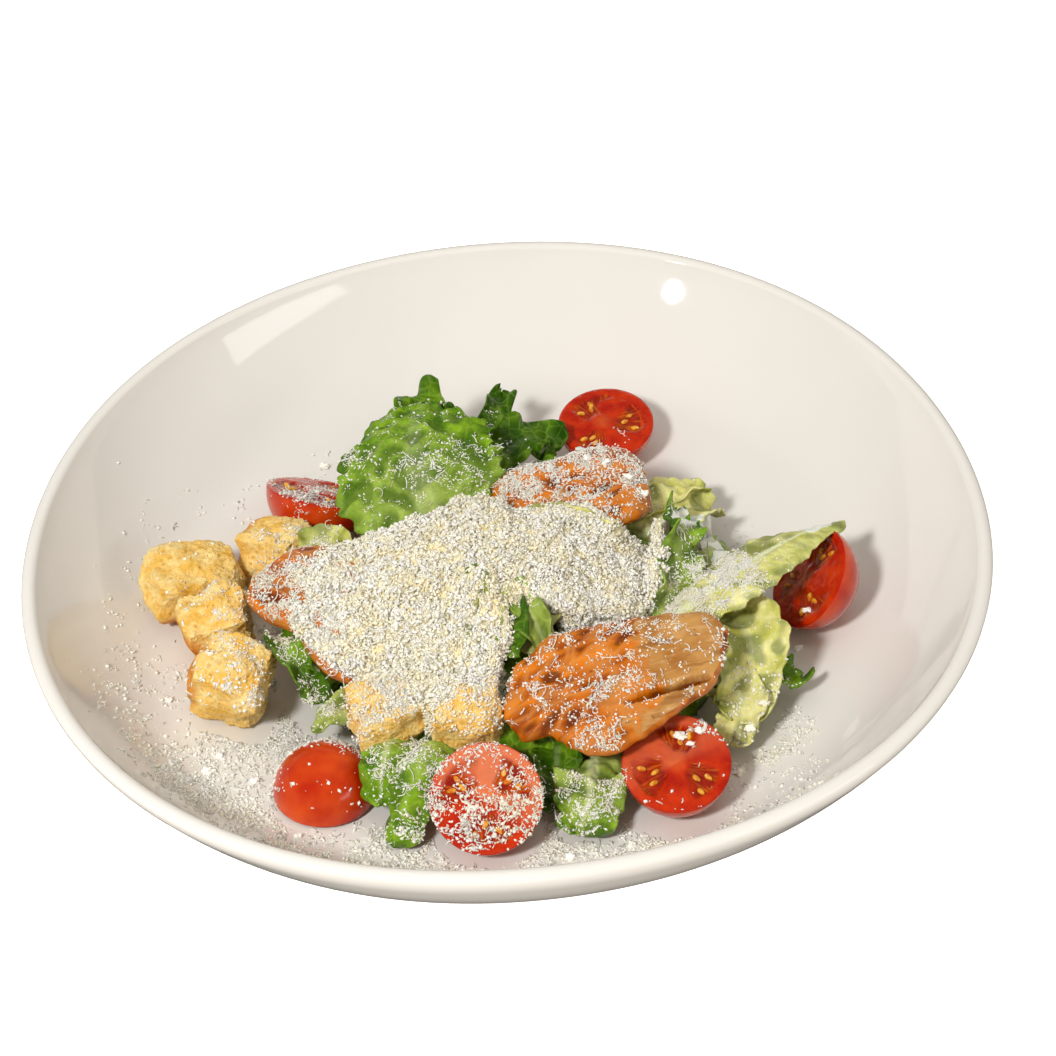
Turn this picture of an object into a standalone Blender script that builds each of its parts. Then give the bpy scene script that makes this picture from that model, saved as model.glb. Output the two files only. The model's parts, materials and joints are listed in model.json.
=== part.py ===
"""Chicken caesar salad in a wide white coupe bowl.

The bowl stands on its foot ring at Z = 0, with its axis on Z. The front of the salad is -Y.
Sizes are in millimetres here and become metres where a mesh is made.
"""

import math
import random

import bmesh
import bpy
from mathutils import Matrix, Vector, noise
from mathutils.bvhtree import BVHTree

MM = 0.001
GAP = 0.45  # clearance between neighbouring solids

# Coupe bowl
RIM_RADIUS = 133.0
RIM_HEIGHT = 48.0
RIM_THICKNESS = 3.8
INNER_RADIUS = RIM_RADIUS - RIM_THICKNESS
FLOOR_HEIGHT = 6.5
FLOOR_DISH = 8.5  # rise of the gentle floor at 100 mm from the axis
WALL_START = 98.0  # radius where the floor turns up into the wall
WALL_RISE = RIM_HEIGHT - 1.0 - FLOOR_HEIGHT - FLOOR_DISH * (INNER_RADIUS / 100) ** 2
WALL_THICKNESS = 4.5
FOOT_RADIUS = 50.0
FOOT_WIDTH = 6.0
FOOT_RECESS = 1.6
FLOOR_STEPS = (40, 74, 98, 107, 115, 122)  # radii of the inside's rings
OUTSIDE_STEPS = (125, 118, 109, 98, 74, FOOT_RADIUS)  # and of those opposite on the outside
BOWL_SEGMENTS = 44
LOBES = ((3, 0.0, -0.0083), (4, -0.0065, -0.0025))  # slow waves of the hand-thrown rim

# Heap of leaves that carries the toppings
HEAP_CENTRE = Vector((-5.0, -12.0))
HEAP_REACH = (55, 60, 58, 60, 66, 60, 50, 48, 50, 52, 52, 56, 62, 62, 62, 66)  # from +X round
HEAP_TOP = 36.0
HEAP_EDGE = 3.0  # height of the heap's edge above the bowl
HEAP_BUMP = 2.2
HEAP_LIFT = 1.0  # of its underside off the bowl
HEAP_CELLS = (26, 10)
SEAM_SHARE = 0.6  # of the triangles kept where the leaves join the heap

# Grated cheese
CHEESE_CENTRE = Vector((-10.0, -14.0))
CHEESE_DEPTH = 4.0  # over what it lies on
CHEESE_TOP = 50.0  # of the mound that fills the middle
CHEESE_FALL = 17.0  # of the mound at 50 mm from its centre
CHEESE_EDGE = 1.0
DIP_CENTRE = Vector((-1.0, -32.0))  # where the leaves show through the cheese
DIP_REACH = 13.0
DIP_DEPTH = 14.0
CHEESE_BUMP = 1.4
CHEESE_SPREAD = 6.5  # radius over which it bridges what it lies on
CHEESE_CELLS = (40, 18)
FLAKE = (3.4, 1.0, 0.8)  # length, width and thickness of one shaving
FLAKE_LIFT = 0.2
SEED = 7


def lobe(angle):
    """Factor of the rim's radius at an angle about Z."""
    return 1 + sum(c * math.cos(n * angle) + s * math.sin(n * angle) for n, c, s in LOBES)


def floor_height(radius):
    """Height of the bowl's inside at a distance from its axis."""
    ramp = max(0.0, radius - WALL_START) / (INNER_RADIUS - WALL_START)
    return FLOOR_HEIGHT + FLOOR_DISH * (radius / 100) ** 2 + WALL_RISE * ramp**2


def floor_at(x, y):
    """Height of the bowl's inside under a point of the plan."""
    return floor_height(math.hypot(x, y) / lobe(math.atan2(y, x)))


def smooth(x):
    x = min(1.0, max(0.0, x))
    return x * x * (3 - 2 * x)


def ripple(x, y, size, seed=0.0):
    """Smooth noise from -1 to 1 with features of about that size."""
    return noise.noise(Vector((x / size, y / size, seed)))


def reach_at(reaches, angle):
    """Reach of an uneven outline from its centre, from values set evenly round it."""
    turn = (angle % math.tau) / math.tau * len(reaches)
    low = int(turn)
    share = smooth(turn - low)
    return reaches[low % len(reaches)] * (1 - share) + reaches[(low + 1) % len(reaches)] * share


def material(name, colour, roughness):
    made = bpy.data.materials.get(name) or bpy.data.materials.new(name)
    made.use_nodes = True
    shader = made.node_tree.nodes["Principled BSDF"]
    shader.inputs["Base Color"].default_value = (*colour, 1)
    shader.inputs["Roughness"].default_value = roughness
    return made


def add_object(name, shape, finish=None):
    """Makes an object of a bmesh in millimetres, with its faces pointing out."""
    bmesh.ops.scale(shape, vec=(MM, MM, MM), verts=shape.verts)
    bmesh.ops.triangulate(shape, faces=shape.faces)
    bmesh.ops.recalc_face_normals(shape, faces=shape.faces)
    mesh = bpy.data.meshes.new(name)
    shape.to_mesh(mesh)
    shape.free()
    made = bpy.data.objects.new(name, mesh)
    bpy.context.scene.collection.objects.link(made)
    if finish:
        mesh.materials.append(finish)
    return made


def blob(segments, rings, shape):
    """A closed bmesh from a sphere: shape(angle, v) places each point, v being 0 at the top, 1 below."""
    made = bmesh.new()
    bmesh.ops.create_uvsphere(made, u_segments=segments, v_segments=rings, radius=1)
    for vert in made.verts:
        v = math.acos(min(1.0, max(-1.0, vert.co.z))) / math.pi
        vert.co = shape(math.atan2(vert.co.y, vert.co.x), v)
    return made


def boolean(base, others, operation):
    """Joins or cuts the other objects, applies the result to base and removes them."""
    group = bpy.data.collections.new("group")
    bpy.context.scene.collection.children.link(group)
    for other in others:
        bpy.context.scene.collection.objects.unlink(other)
        group.objects.link(other)
    modifier = base.modifiers.new(operation, "BOOLEAN")
    modifier.operation = operation
    modifier.operand_type = "COLLECTION"
    modifier.collection = group
    modifier.solver = "MANIFOLD"
    bpy.context.view_layer.update()
    graph = bpy.context.evaluated_depsgraph_get()
    result = bpy.data.meshes.new_from_object(base.evaluated_get(graph))
    base.modifiers.clear()
    base.data = result
    for other in others:
        bpy.data.objects.remove(other)
    bpy.data.collections.remove(group)


def thin_out(base, share):
    """Merges the many small triangles along the seams of a union, down to that share of them."""
    modifier = base.modifiers.new("thin out", "DECIMATE")
    modifier.ratio = share
    bpy.context.view_layer.update()
    graph = bpy.context.evaluated_depsgraph_get()
    result = bpy.data.meshes.new_from_object(base.evaluated_get(graph))
    base.modifiers.clear()
    base.data = result


def keep_largest(base):
    """Drops the scraps that a cut left beside the largest piece."""
    shape = bmesh.new()
    shape.from_mesh(base.data)
    seen = set()
    islands = []
    for start in shape.verts:
        if start.index in seen:
            continue
        island = [start]
        seen.add(start.index)
        for vert in island:
            for edge in vert.link_edges:
                other = edge.other_vert(vert)
                if other.index not in seen:
                    seen.add(other.index)
                    island.append(other)
        islands.append(island)
    islands.sort(key=len)
    scraps = [vert for island in islands[:-1] for vert in island]
    bmesh.ops.delete(shape, geom=scraps, context="VERTS")
    shape.to_mesh(base.data)
    shape.free()


def swell(shape, by=GAP):
    """Moves the surface of a bmesh outwards."""
    bmesh.ops.recalc_face_normals(shape, faces=shape.faces)
    shape.normal_update()
    moved = [vert.co + vert.normal * by for vert in shape.verts]
    for vert, place in zip(shape.verts, moved):
        vert.co = place


def outside_point(radius):
    """The point of the bowl's outside straight across the wall from a point of its inside."""
    slope = math.atan(floor_height(radius + 0.5) - floor_height(radius - 0.5))
    across = WALL_THICKNESS * math.sin(slope)
    return radius + across, floor_height(radius) - WALL_THICKNESS * math.cos(slope)


def bowl_profile():
    """Radius and height from the inside's centre over the rim and down to the underside's centre."""
    inside = [(0.0, FLOOR_HEIGHT)]
    inside += [(r, floor_height(r)) for r in (*FLOOR_STEPS, 126)]
    inside += [(INNER_RADIUS, RIM_HEIGHT - 1.0), (RIM_RADIUS - 1.9, RIM_HEIGHT)]
    outside = [(RIM_RADIUS - 0.3, RIM_HEIGHT - 1.2), (RIM_RADIUS, RIM_HEIGHT - 3.6)]
    outside += [outside_point(r) for r in OUTSIDE_STEPS]
    ring = [(FOOT_RADIUS - 0.6, 0.0), (FOOT_RADIUS - FOOT_WIDTH, 0.0)]
    recess = [(FOOT_RADIUS - FOOT_WIDTH - 1.2, FOOT_RECESS), (0.0, FOOT_RECESS)]
    return inside + outside + ring + recess


def turned(profile, segments):
    """A closed bmesh turned about Z from a profile whose ends lie on the axis, with the rim's lobes."""
    made = bmesh.new()
    verts = [made.verts.new((r, 0, z)) for r, z in profile]
    edges = [made.edges.new(pair) for pair in zip(verts, verts[1:])]
    bmesh.ops.spin(
        made,
        geom=verts + edges,
        cent=(0, 0, 0),
        axis=(0, 0, 1),
        angle=math.tau,
        steps=segments,
        use_merge=True,
    )
    bmesh.ops.remove_doubles(made, verts=made.verts, dist=0.01)
    for vert in made.verts:
        radius = math.hypot(vert.co.x, vert.co.y)
        share = smooth(radius / RIM_RADIUS)
        factor = 1 + (lobe(math.atan2(vert.co.y, vert.co.x)) - 1) * share
        vert.co.x *= factor
        vert.co.y *= factor
    return made


def build_bowl():
    porcelain = material("porcelain", (0.80, 0.77, 0.72), 0.12)
    return add_object("bowl", turned(bowl_profile(), BOWL_SEGMENTS), porcelain)


def bowl_room():
    """Everything from just above the bowl's inside down past its foot, for cutting the leaves."""
    profile = [(0.0, FLOOR_HEIGHT + GAP)]
    profile += [(r, floor_height(r) + GAP) for r in FLOOR_STEPS]
    profile += [(INNER_RADIUS - GAP, RIM_HEIGHT + 2), (150.0, RIM_HEIGHT + 2)]
    profile += [(150.0, -5.0), (0.0, -5.0)]
    return add_object("bowl_room", turned(profile, BOWL_SEGMENTS))


def pose(place, tilt, toward, turn):
    """Matrix that turns a shape about its own Z, tips it by tilt towards a compass angle and moves it."""
    axis = Vector((-math.sin(math.radians(toward)), math.cos(math.radians(toward)), 0))
    tip = Matrix.Rotation(math.radians(tilt), 4, axis)
    return Matrix.Translation(place) @ tip @ Matrix.Rotation(math.radians(turn), 4, "Z")


# Cherry tomato halves: centre of the cut face, radius, tilt of the face, its compass angle, turn, point
TOMATOES = {
    "tomato_back_right": ((31.0, 66.5, 25.1), 14.4, 8, 265, 0, 0.09),
    "tomato_back_left": ((-53.8, 41.2, 26.3), 16.0, 30, 60, 50, 0.05),
    "tomato_right": ((83.0, -11.0, 27.2), 14.8, 52, 190, 20, 0.04),
    "tomato_front_right": ((40.8, -78.0, 27.1), 14.2, 16, 265, 80, 0.03),
    "tomato_front_centre": ((-8.7, -86.0, 27.6), 14.6, 32, 270, 30, 0.02),
    "tomato_front_left": ((-50.8, -66.5, 14.4), 13.6, 176, 200, 0, 0.06),
}
TOMATO_DEPTH = 0.93  # depth of the half over its radius
TOMATO_WALL = 0.82  # inside of the flesh wall, over the radius
POCKET_DEPTH = 0.9
POCKETS = 3


def tomato_point(radius, point, angle, v):
    """A point of half a tomato whose cut face looks up, with seed pockets sunk in the face."""
    reach = radius * (1 + point * math.cos(angle))
    if v > 0.5:
        q = math.sin(math.pi * v)
        height = radius * TOMATO_DEPTH * math.cos(math.pi * v)
        return Vector((reach * q * math.cos(angle), reach * q * math.sin(angle), height))
    q = v * 2
    between = smooth((q - 0.2) / 0.2) * smooth((TOMATO_WALL + 0.06 - q) / 0.14)
    dip = POCKET_DEPTH * between * (0.5 + 0.5 * math.cos(POCKETS * angle))
    return Vector((reach * q * math.cos(angle), reach * q * math.sin(angle), 0.5 * (1 - q * q) - dip))


def tomato_shape(name, fine):
    place, radius, tilt, toward, turn, point = TOMATOES[name]
    cells = (20, 8) if fine else (10, 6)
    shape = blob(*cells, lambda a, v: tomato_point(radius, point, a, v))
    shape.transform(pose(place, tilt, toward, turn))
    return shape


# Croutons: centre, size, turn about Z, tip, compass angle of the tip, seed
CROUTONS = {
    "crouton_left": ((-89.7, 8.3, 23.9), (25.0, 20.0, 17.0), 18, 10, 0, 1),
    "crouton_back": ((-66.2, 17.8, 22.7), (20.0, 17.0, 20.0), -25, 12, 90, 2),
    "crouton_middle": ((-81.0, -11.2, 24.5), (19.0, 18.0, 19.0), 12, 12, 250, 3),
    "crouton_front": ((-76.1, -34.2, 25.4), (21.0, 19.0, 20.5), -20, 18, 300, 4),
    "crouton_centre_left": ((-32.8, -54.3, 28.9), (21.0, 16.0, 19.0), 15, 14, 260, 5),
    "crouton_centre": ((-12.2, -58.8, 29.5), (17.0, 16.0, 20.0), -8, 8, 270, 6),
}
CROUTON_CUTS = 3
CROUTON_SQUARE = 0.5  # 0 is a ball and 1 a cube
CROUTON_CRAG = 2.0


def crouton_point(co, size, seed):
    """A point of a cube from -1 to 1, rounded and roughened into a torn cube of bread."""
    round_off = co.normalized()
    block = co * CROUTON_SQUARE + round_off * (1 - CROUTON_SQUARE) * 1.12
    crag = 1 + CROUTON_CRAG / 10 * noise.noise(round_off * 1.7 + Vector((seed * 7.3, 0, 0)))
    return Vector((block.x * size[0] / 2, block.y * size[1] / 2, block.z * size[2] / 2)) * crag


def crouton_shape(name, fine):
    place, size, turn, tip, toward, seed = CROUTONS[name]
    shape = bmesh.new()
    bmesh.ops.create_cube(shape, size=2)
    cuts = CROUTON_CUTS if fine else 1
    bmesh.ops.subdivide_edges(shape, edges=shape.edges, cuts=cuts, use_grid_fill=True)
    for vert in shape.verts:
        vert.co = crouton_point(vert.co, size, seed)
    shape.transform(pose(place, tip, toward, turn))
    return shape


# Grilled chicken slices: centre, half length, half width, half thickness, turn, tilt, its angle, bend, seed
CHICKEN = {
    "chicken_front": ((26.8, -57.7, 39.5), 30.0, 18.0, 4.2, 14, 17, 250, 2.5, 1),
    "chicken_left": ((-48.7, -19.0, 37.2), 26.0, 16.5, 4.6, -50, 10, 230, 2.5, 2),
    "chicken_back": ((20.5, 19.0, 39.0), 24.0, 13.0, 4.6, 6, 12, 270, 2.0, 3),
}
CHICKEN_RIDGE = 0.7
FRONT_SEED = 1
FRONT_REACH = (
    *(1.03, 1.09, 1.13, 1.12, 1.00, 0.92, 0.91, 0.91),
    *(0.92, 0.99, 1.11, 1.06, 1.09, 1.06, 1.02, 1.02),
    *(1.02, 1.01, 1.01, 0.86, 0.90, 1.00, 1.13, 1.16),
    *(1.06, 1.00, 0.94, 0.93, 0.97, 0.98, 0.96, 0.98),
)


def chicken_outline(angle, seed):
    """Reach of the slice's edge over an ellipse, with the lumps of torn muscle."""
    if seed == FRONT_SEED:
        return reach_at(FRONT_REACH, angle)
    lumps = 0.07 * math.cos(3 * angle + seed) + 0.05 * math.cos(5 * angle + 2.1 * seed)
    corner = 1 + 0.10 * math.cos(4 * angle + math.pi)
    return corner + lumps


def chicken_point(half, seed, bend, angle, v):
    """A point of a slice of breast: a flat slab with a rounded edge that sags over what it lies on."""
    q = math.sin(math.pi * v) ** 0.75
    reach = chicken_outline(angle, seed)
    x = half[0] * reach * q * math.cos(angle)
    y = half[1] * reach * q * math.sin(angle)
    side = 1 if v < 0.5 else -1
    height = side * half[2] * (1 - q**5) ** 0.5
    ridge = CHICKEN_RIDGE * math.sin(x / 2.6 + 1.5 * math.sin(y / 5)) * (1 - q**4) if side > 0 else 0
    return Vector((x, y, height + ridge - bend * (x / half[0]) ** 2))


def chicken_shape(name, fine):
    place, long, wide, thick, turn, tilt, toward, bend, seed = CHICKEN[name]
    cells = (32, 8) if fine else (16, 6)
    shape = blob(*cells, lambda a, v: chicken_point((long, wide, thick), seed, bend, a, v))
    shape.transform(pose(place, tilt, toward, turn))
    return shape


# Gaps between the muscle strands of the front slice: centre, half length, half width, turn
SLITS = (((35.2, -66.5, 41.0), 5.9, 1.1, 14), ((46.3, -63.7, 43.0), 5.0, 1.0, 20))
SLIT_CUT = 24.0  # length of the cut, through the whole slice


def cut_slits(slab):
    """Cuts the gaps between the strands right through a slice."""
    _, _, _, _, _, tilt, toward, _, _ = CHICKEN["chicken_front"]
    cutters = []
    for place, long, wide, turn in SLITS:
        shape = bmesh.new()
        bmesh.ops.create_cone(shape, cap_ends=True, segments=8, radius1=1, radius2=1, depth=SLIT_CUT)
        bmesh.ops.scale(shape, vec=(long, wide, 1), verts=shape.verts)
        shape.transform(pose(place, tilt, toward, turn))
        cutters.append(add_object("slit", shape))
    boolean(slab, cutters, "DIFFERENCE")


# What each kind of topping is made by, the colour and roughness of its material, and its room's margin
KINDS = {
    "tomato": (TOMATOES, tomato_shape, (0.62, 0.045, 0.012), 0.18, 1.8),
    "crouton": (CROUTONS, crouton_shape, (0.72, 0.45, 0.16), 0.8, 2.5),
    "chicken": (CHICKEN, chicken_shape, (0.55, 0.24, 0.07), 0.45, 1.8),
}


def build_toppings():
    made = {}
    for kind, (table, shape, colour, roughness, _) in KINDS.items():
        finish = material(kind, colour, roughness)
        made.update({name: add_object(name, shape(name, True), finish) for name in table})
    return made


def topping_rooms():
    """Coarser and larger copies of the toppings, for cutting room in what they lie in."""
    made = []
    for table, shape, _, _, margin in KINDS.values():
        for name in table:
            room = shape(name, False)
            swell(room, margin)
            made.append(add_object(name + "_room", room))
    return made


def heap_height(x, y):
    """Top of the heap of leaves under the toppings, above Z = 0."""
    away = Vector((x, y)) - HEAP_CENTRE
    rho = min(1.0, away.length / reach_at(HEAP_REACH, math.atan2(away.y, away.x)))
    full = (1 - rho**4) ** 0.6
    edge = floor_at(x, y) + HEAP_EDGE
    bumps = HEAP_BUMP * ripple(x, y, 13.0) * full
    return edge + (HEAP_TOP - edge) * full + bumps


def heap_point(angle, v, by=0.0):
    q = math.sin(math.pi * v) ** 0.8
    reach = reach_at(HEAP_REACH, angle) * q
    x = HEAP_CENTRE.x + reach * math.cos(angle)
    y = HEAP_CENTRE.y + reach * math.sin(angle)
    return Vector((x, y, heap_height(x, y) + by if v < 0.5 else floor_at(x, y) + HEAP_LIFT))


# Leaves: base, middle and tip of the spine, width, roll, cup, ruffle, waves, breadth at the tip
LEAVES = {
    "back_large": ((-17, 4, 34), (-30, 32, 56), (-20, 57, 44), 48, -8, -6, 2.0, 2.0, 0.75),
    "back_frill": ((-22, 44, 30), (-23, 58, 42), (-16, 62, 42), 20, 0, 2, 3.0, 2.5, 0.8),
    "curly_spike": ((-3, 44, 24), (0, 62, 34), (1, 76, 32), 13, 20, 2, 2.6, 2.5, 0.5),
    "curly_right": ((-4, 42, 26), (9, 60, 36), (16, 55, 24), 16, 10, 2, 3.0, 2.5, 0.7),
    "right_pale": ((34, 12, 20), (50, 20, 35), (60, 28, 20), 20, 8, 3, 1.5, 1.5, 0.6),
    "right_yellow": ((30, 18, 22), (48, 30, 31), (59, 34, 23), 13, -8, 2, 1.2, 1.5, 0.7),
    "rib_strip": ((0, 6, 34), (14, 7, 48), (30, 2, 36), 9, 55, 1, 0.4, 1.0, 0.7),
    "right_crisp": ((40, -26, 24), (52, -7, 48), (48, 12, 34), 13, 45, 2, 2.6, 3.0, 0.8),
    "right_rib": ((36, -32, 26), (70, -18, 50), (95, 2, 36), 24, -14, -2, 0.8, 1.5, 0.22),
    "iceberg": ((50, -26, 26), (73, -32, 39), (59, -56, 18), 19, -12, 5, 1.5, 1.5, 0.8),
    "right_curl": ((48, -42, 18), (70, -45, 26), (78, -41, 18), 11, 0, 2, 2.0, 2.5, 0.7),
    "iceberg_low": ((50, -42, 20), (67, -52, 28), (57, -62, 16), 15, 6, 3, 1.2, 2.0, 0.7),
    "centre_rib": ((-10, -40, 28), (-11, -32, 47), (-7, -22, 48), 11, 0, 2, 0.5, 1.0, 0.5),
    "centre_leaf": ((3, -22, 30), (9, -31, 48), (3, -42, 36), 16, 0, -2, 1.6, 2.0, 0.7),
    "left_dark": ((-64, -22, 28), (-62, -30, 38), (-52, -44, 24), 9, 0, 2, 2.2, 2.5, 0.8),
    "front_small": ((-30, -54, 20), (-35, -68, 35), (-36, -79, 20), 14, 0, -2, 1.2, 1.5, 0.8),
    "front_rib": ((-20, -58, 24), (-25, -77, 37), (-33, -90, 16), 15, 0, -4, 0.8, 1.5, 0.75),
    "front_frill": ((20, -62, 18), (20, -82, 30), (15, -91, 17), 20, 0, -2, 2.4, 3.0, 0.8),
    "left_pale": ((-42, 4, 28), (-51, 10, 44), (-56, 8, 30), 10, 0, 2, 1.0, 2.0, 0.9),
    "front_olive": ((-35, -42, 21), (-45, -50, 31), (-54, -50, 22), 12, 0, 0, 0.8, 1.0, 0.8),
    "under_chicken": ((12, -56, 20), (10, -72, 29), (9, -80, 15), 13, 0, 2, 2.0, 2.0, 0.7),
    "back_low": ((8, 34, 24), (22, 46, 34), (38, 50, 16), 20, 0, -2, 2.2, 2.0, 0.7),
    "behind": ((-26, 42, 26), (-34, 60, 36), (-34, 72, 17), 20, 0, -2, 2.4, 2.5, 0.7),
    "right_low": ((44, 2, 24), (60, 4, 32), (68, 10, 15), 20, 0, -2, 2.2, 2.0, 0.7),
}
POKING = ("rib_strip", "right_crisp", "centre_rib", "back_large", "right_rib")
LEAF_THICKNESS = 1.1
LEAF_CELLS = (5, 4)
LARGE_LEAF = 21.0  # width from which a leaf gets finer cells
LARGE_CELLS = (7, 6)


def bezier(a, b, c, t):
    return a * (1 - t) ** 2 + b * 2 * t * (1 - t) + c * t * t


def leaf_point(leaf, t, s):
    """A point of a leaf: t runs from its base to its tip, and s from -1 to 1 across it."""
    base, middle, tip, width, roll, cup, ruffle, waves, end = leaf
    a, b, c = Vector(base), Vector(middle), Vector(tip)
    along = ((b - a) * (1 - t) + (c - b) * t).normalized()
    side = along.cross(Vector((0, 0, 1))).normalized()
    side = Matrix.Rotation(math.radians(roll), 3, along) @ side
    up = side.cross(along)
    breadth = (0.55 + 0.45 * smooth(t / 0.35)) * (1 + (end - 1) * smooth((t - 0.35) / 0.65))
    wave = ruffle * s * abs(s) * math.sin(math.tau * waves * t + width)
    return bezier(a, b, c, t) + side * s * width / 2 * breadth + up * (cup * s * s + wave)


def leaf_solid(name, leaf, room=False):
    """A thin wavy solid, or the room that it needs in a neighbour."""
    cells = LARGE_CELLS if leaf[3] > LARGE_LEAF else LEAF_CELLS
    shape = bmesh.new()
    bmesh.ops.create_grid(shape, x_segments=cells[0], y_segments=cells[1], size=1)
    for vert in shape.verts:
        vert.co = leaf_point(leaf, (vert.co.x + 1) / 2, vert.co.y)
    bmesh.ops.triangulate(shape, faces=shape.faces)
    shape.normal_update()
    for vert in shape.verts:
        vert.co += vert.normal * LEAF_THICKNESS / 2
    bmesh.ops.solidify(shape, geom=shape.faces, thickness=LEAF_THICKNESS)
    if room:
        swell(shape)
    return add_object(name, shape)


def build_salad():
    """The heap with its leaves fused on, cut clear of the bowl and of every topping."""
    green = material("lettuce", (0.20, 0.36, 0.05), 0.5)
    heap = add_object("lettuce", blob(*HEAP_CELLS, heap_point), green)
    boolean(heap, [leaf_solid(name, leaf) for name, leaf in LEAVES.items()], "UNION")
    thin_out(heap, SEAM_SHARE)
    boolean(heap, [bowl_room(), *topping_rooms()], "DIFFERENCE")
    keep_largest(heap)
    return heap


# Reach of the grated cheese from its centre, evenly round from +X
CHEESE_REACH = (
    *(56, 58, 44, 32, 28, 28),  # to the right and back
    *(28, 24, 22, 26, 36, 46),
    *(50, 52, 50, 46, 46, 50),  # to the left and front
    *(46, 34, 22, 26, 38, 50),
)


def tree_of(objects):
    """A tree of the objects' triangles, in millimetres, to drop rays on."""
    points = []
    faces = []
    for one in objects:
        start = len(points)
        points += [vert.co / MM for vert in one.data.vertices]
        faces += [[start + i for i in face.vertices] for face in one.data.polygons]
    return BVHTree.FromPolygons(points, faces)


def drape(tree, x, y, spread):
    """Height of whatever lies under a small disc of the plan."""
    highest = floor_at(x, y)
    for ring in (0.0, 0.5, 1.0):
        for step in range(8 if ring else 1):
            turn = math.tau * step / 8
            start = Vector((x + spread * ring * math.cos(turn), y + spread * ring * math.sin(turn), 100))
            hit = tree.ray_cast(start, Vector((0, 0, -1)))[0]
            if hit:
                highest = max(highest, hit.z)
    return highest


def build_cheese(under, room):
    """The heap of grated cheese, draped over what it lies on and cut clear of it."""
    ivory = material("parmesan", (0.83, 0.76, 0.55), 0.7)
    tree = tree_of(under)

    def cheese_point(angle, v):
        q = math.sin(math.pi * v) ** 0.9
        reach = reach_at(CHEESE_REACH, angle) * q
        x = CHEESE_CENTRE.x + reach * math.cos(angle)
        y = CHEESE_CENTRE.y + reach * math.sin(angle)
        bottom = drape(tree, x, y, CHEESE_SPREAD) + GAP
        if v > 0.5:
            return Vector((x, y, bottom))
        layer = bottom + CHEESE_DEPTH * (1 - q**4) * (0.8 + 0.4 * ripple(x, y, 22.0, 3.0))
        mound = CHEESE_TOP - CHEESE_FALL * (reach / 50) ** 2
        away = (Vector((x, y)) - DIP_CENTRE).length / DIP_REACH
        mound -= DIP_DEPTH * (1 - smooth(away))
        bumps = CHEESE_BUMP * ripple(x, y, 3.6, 9.0) * (1 - q**6)
        return Vector((x, y, max(bottom, layer + bumps, mound + bumps) + CHEESE_EDGE))

    heap = add_object("parmesan", blob(*CHEESE_CELLS, cheese_point), ivory)
    boolean(heap, room, "DIFFERENCE")
    keep_largest(heap)
    return heap


def flake(place, normal, turn, length):
    """One short shaving of cheese lying on a surface."""
    shape = bmesh.new()
    bmesh.ops.create_cube(shape, size=1)
    bmesh.ops.scale(shape, vec=(length, FLAKE[1], FLAKE[2]), verts=shape.verts)
    lie = normal.to_track_quat("Z", "Y").to_matrix().to_4x4()
    shape.transform(Matrix.Translation(place) @ lie @ Matrix.Rotation(turn, 4, "Z"))
    return add_object("flake", shape)


def sprinkle(base, others, count, centre, reach, rng):
    """Fuses shavings onto the upper side of a solid around a point of the plan, clear of the others."""
    tree = tree_of([base])
    around = tree_of(others)
    flakes = []
    for _ in range(count * 12):
        turn = rng.uniform(0, math.tau)
        away = reach * math.sqrt(rng.random())
        start = Vector((centre[0] + away * math.cos(turn), centre[1] + away * math.sin(turn), 100))
        length = FLAKE[0] * rng.uniform(0.7, 1.2)
        hit, normal, _, _ = tree.ray_cast(start, Vector((0, 0, -1)))
        cover = around.ray_cast(start, Vector((0, 0, -1)))[0]
        if hit is None or normal.z < 0.45 or (cover and cover.z > hit.z):
            continue
        if around.find_nearest(hit, length)[0] is None and len(flakes) < count:
            flakes.append(flake(hit + normal * FLAKE_LIFT, normal, turn * 7, length))
    boolean(base, flakes, "UNION")
    keep_largest(base)


# Where shavings show on the toppings: number, centre in plan and reach
SPRINKLES = {
    "parmesan": (16, CHEESE_CENTRE, 44),
    "chicken_back": (8, (22, 20), 15),
    "chicken_front": (10, (27, -58), 24),
    "tomato_front_centre": (6, (-8, -80), 11),
    "tomato_front_right": (3, (42, -70), 9),
    "tomato_back_left": (4, (-53, 38), 10),
    "tomato_back_right": (2, (28, 65), 8),
    "tomato_front_left": (2, (-48, -66), 8),
    "crouton_middle": (3, (-76, -8), 8),
    "crouton_front": (2, (-73, -29), 7),
}


def main():
    for old in list(bpy.data.objects):
        bpy.data.objects.remove(old)
    rng = random.Random(SEED)
    bowl = build_bowl()
    toppings = build_toppings()
    cut_slits(toppings["chicken_front"])
    salad = build_salad()
    leaves = [leaf_solid("tmp_" + name, leaf) for name, leaf in LEAVES.items() if name not in POKING]
    bare = add_object("tmp_heap", blob(*HEAP_CELLS, heap_point))
    room = [leaf_solid("room_" + name, LEAVES[name], room=True) for name in POKING]
    room += [add_object("room_heap", blob(*HEAP_CELLS, lambda a, v: heap_point(a, v, GAP)))]
    room += topping_rooms()
    cheese = build_cheese([bare, *leaves, *toppings.values()], room)
    for helper in [bare, *leaves]:
        bpy.data.objects.remove(helper)
    solids = {"bowl": bowl, "lettuce": salad, "parmesan": cheese, **toppings}
    for name, (count, centre, reach) in SPRINKLES.items():
        others = [one for other, one in solids.items() if other != name]
        sprinkle(solids[name], others, count, centre, reach, rng)


main()
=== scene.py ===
"""Chicken caesar salad in a wide white coupe bowl.

Sizes are in millimetres here and become metres where a mesh is made.
"""

import json
import math
import random

import bmesh
import bpy
import numpy as np
from mathutils import Matrix, Vector, noise
from mathutils.bvhtree import BVHTree

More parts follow.
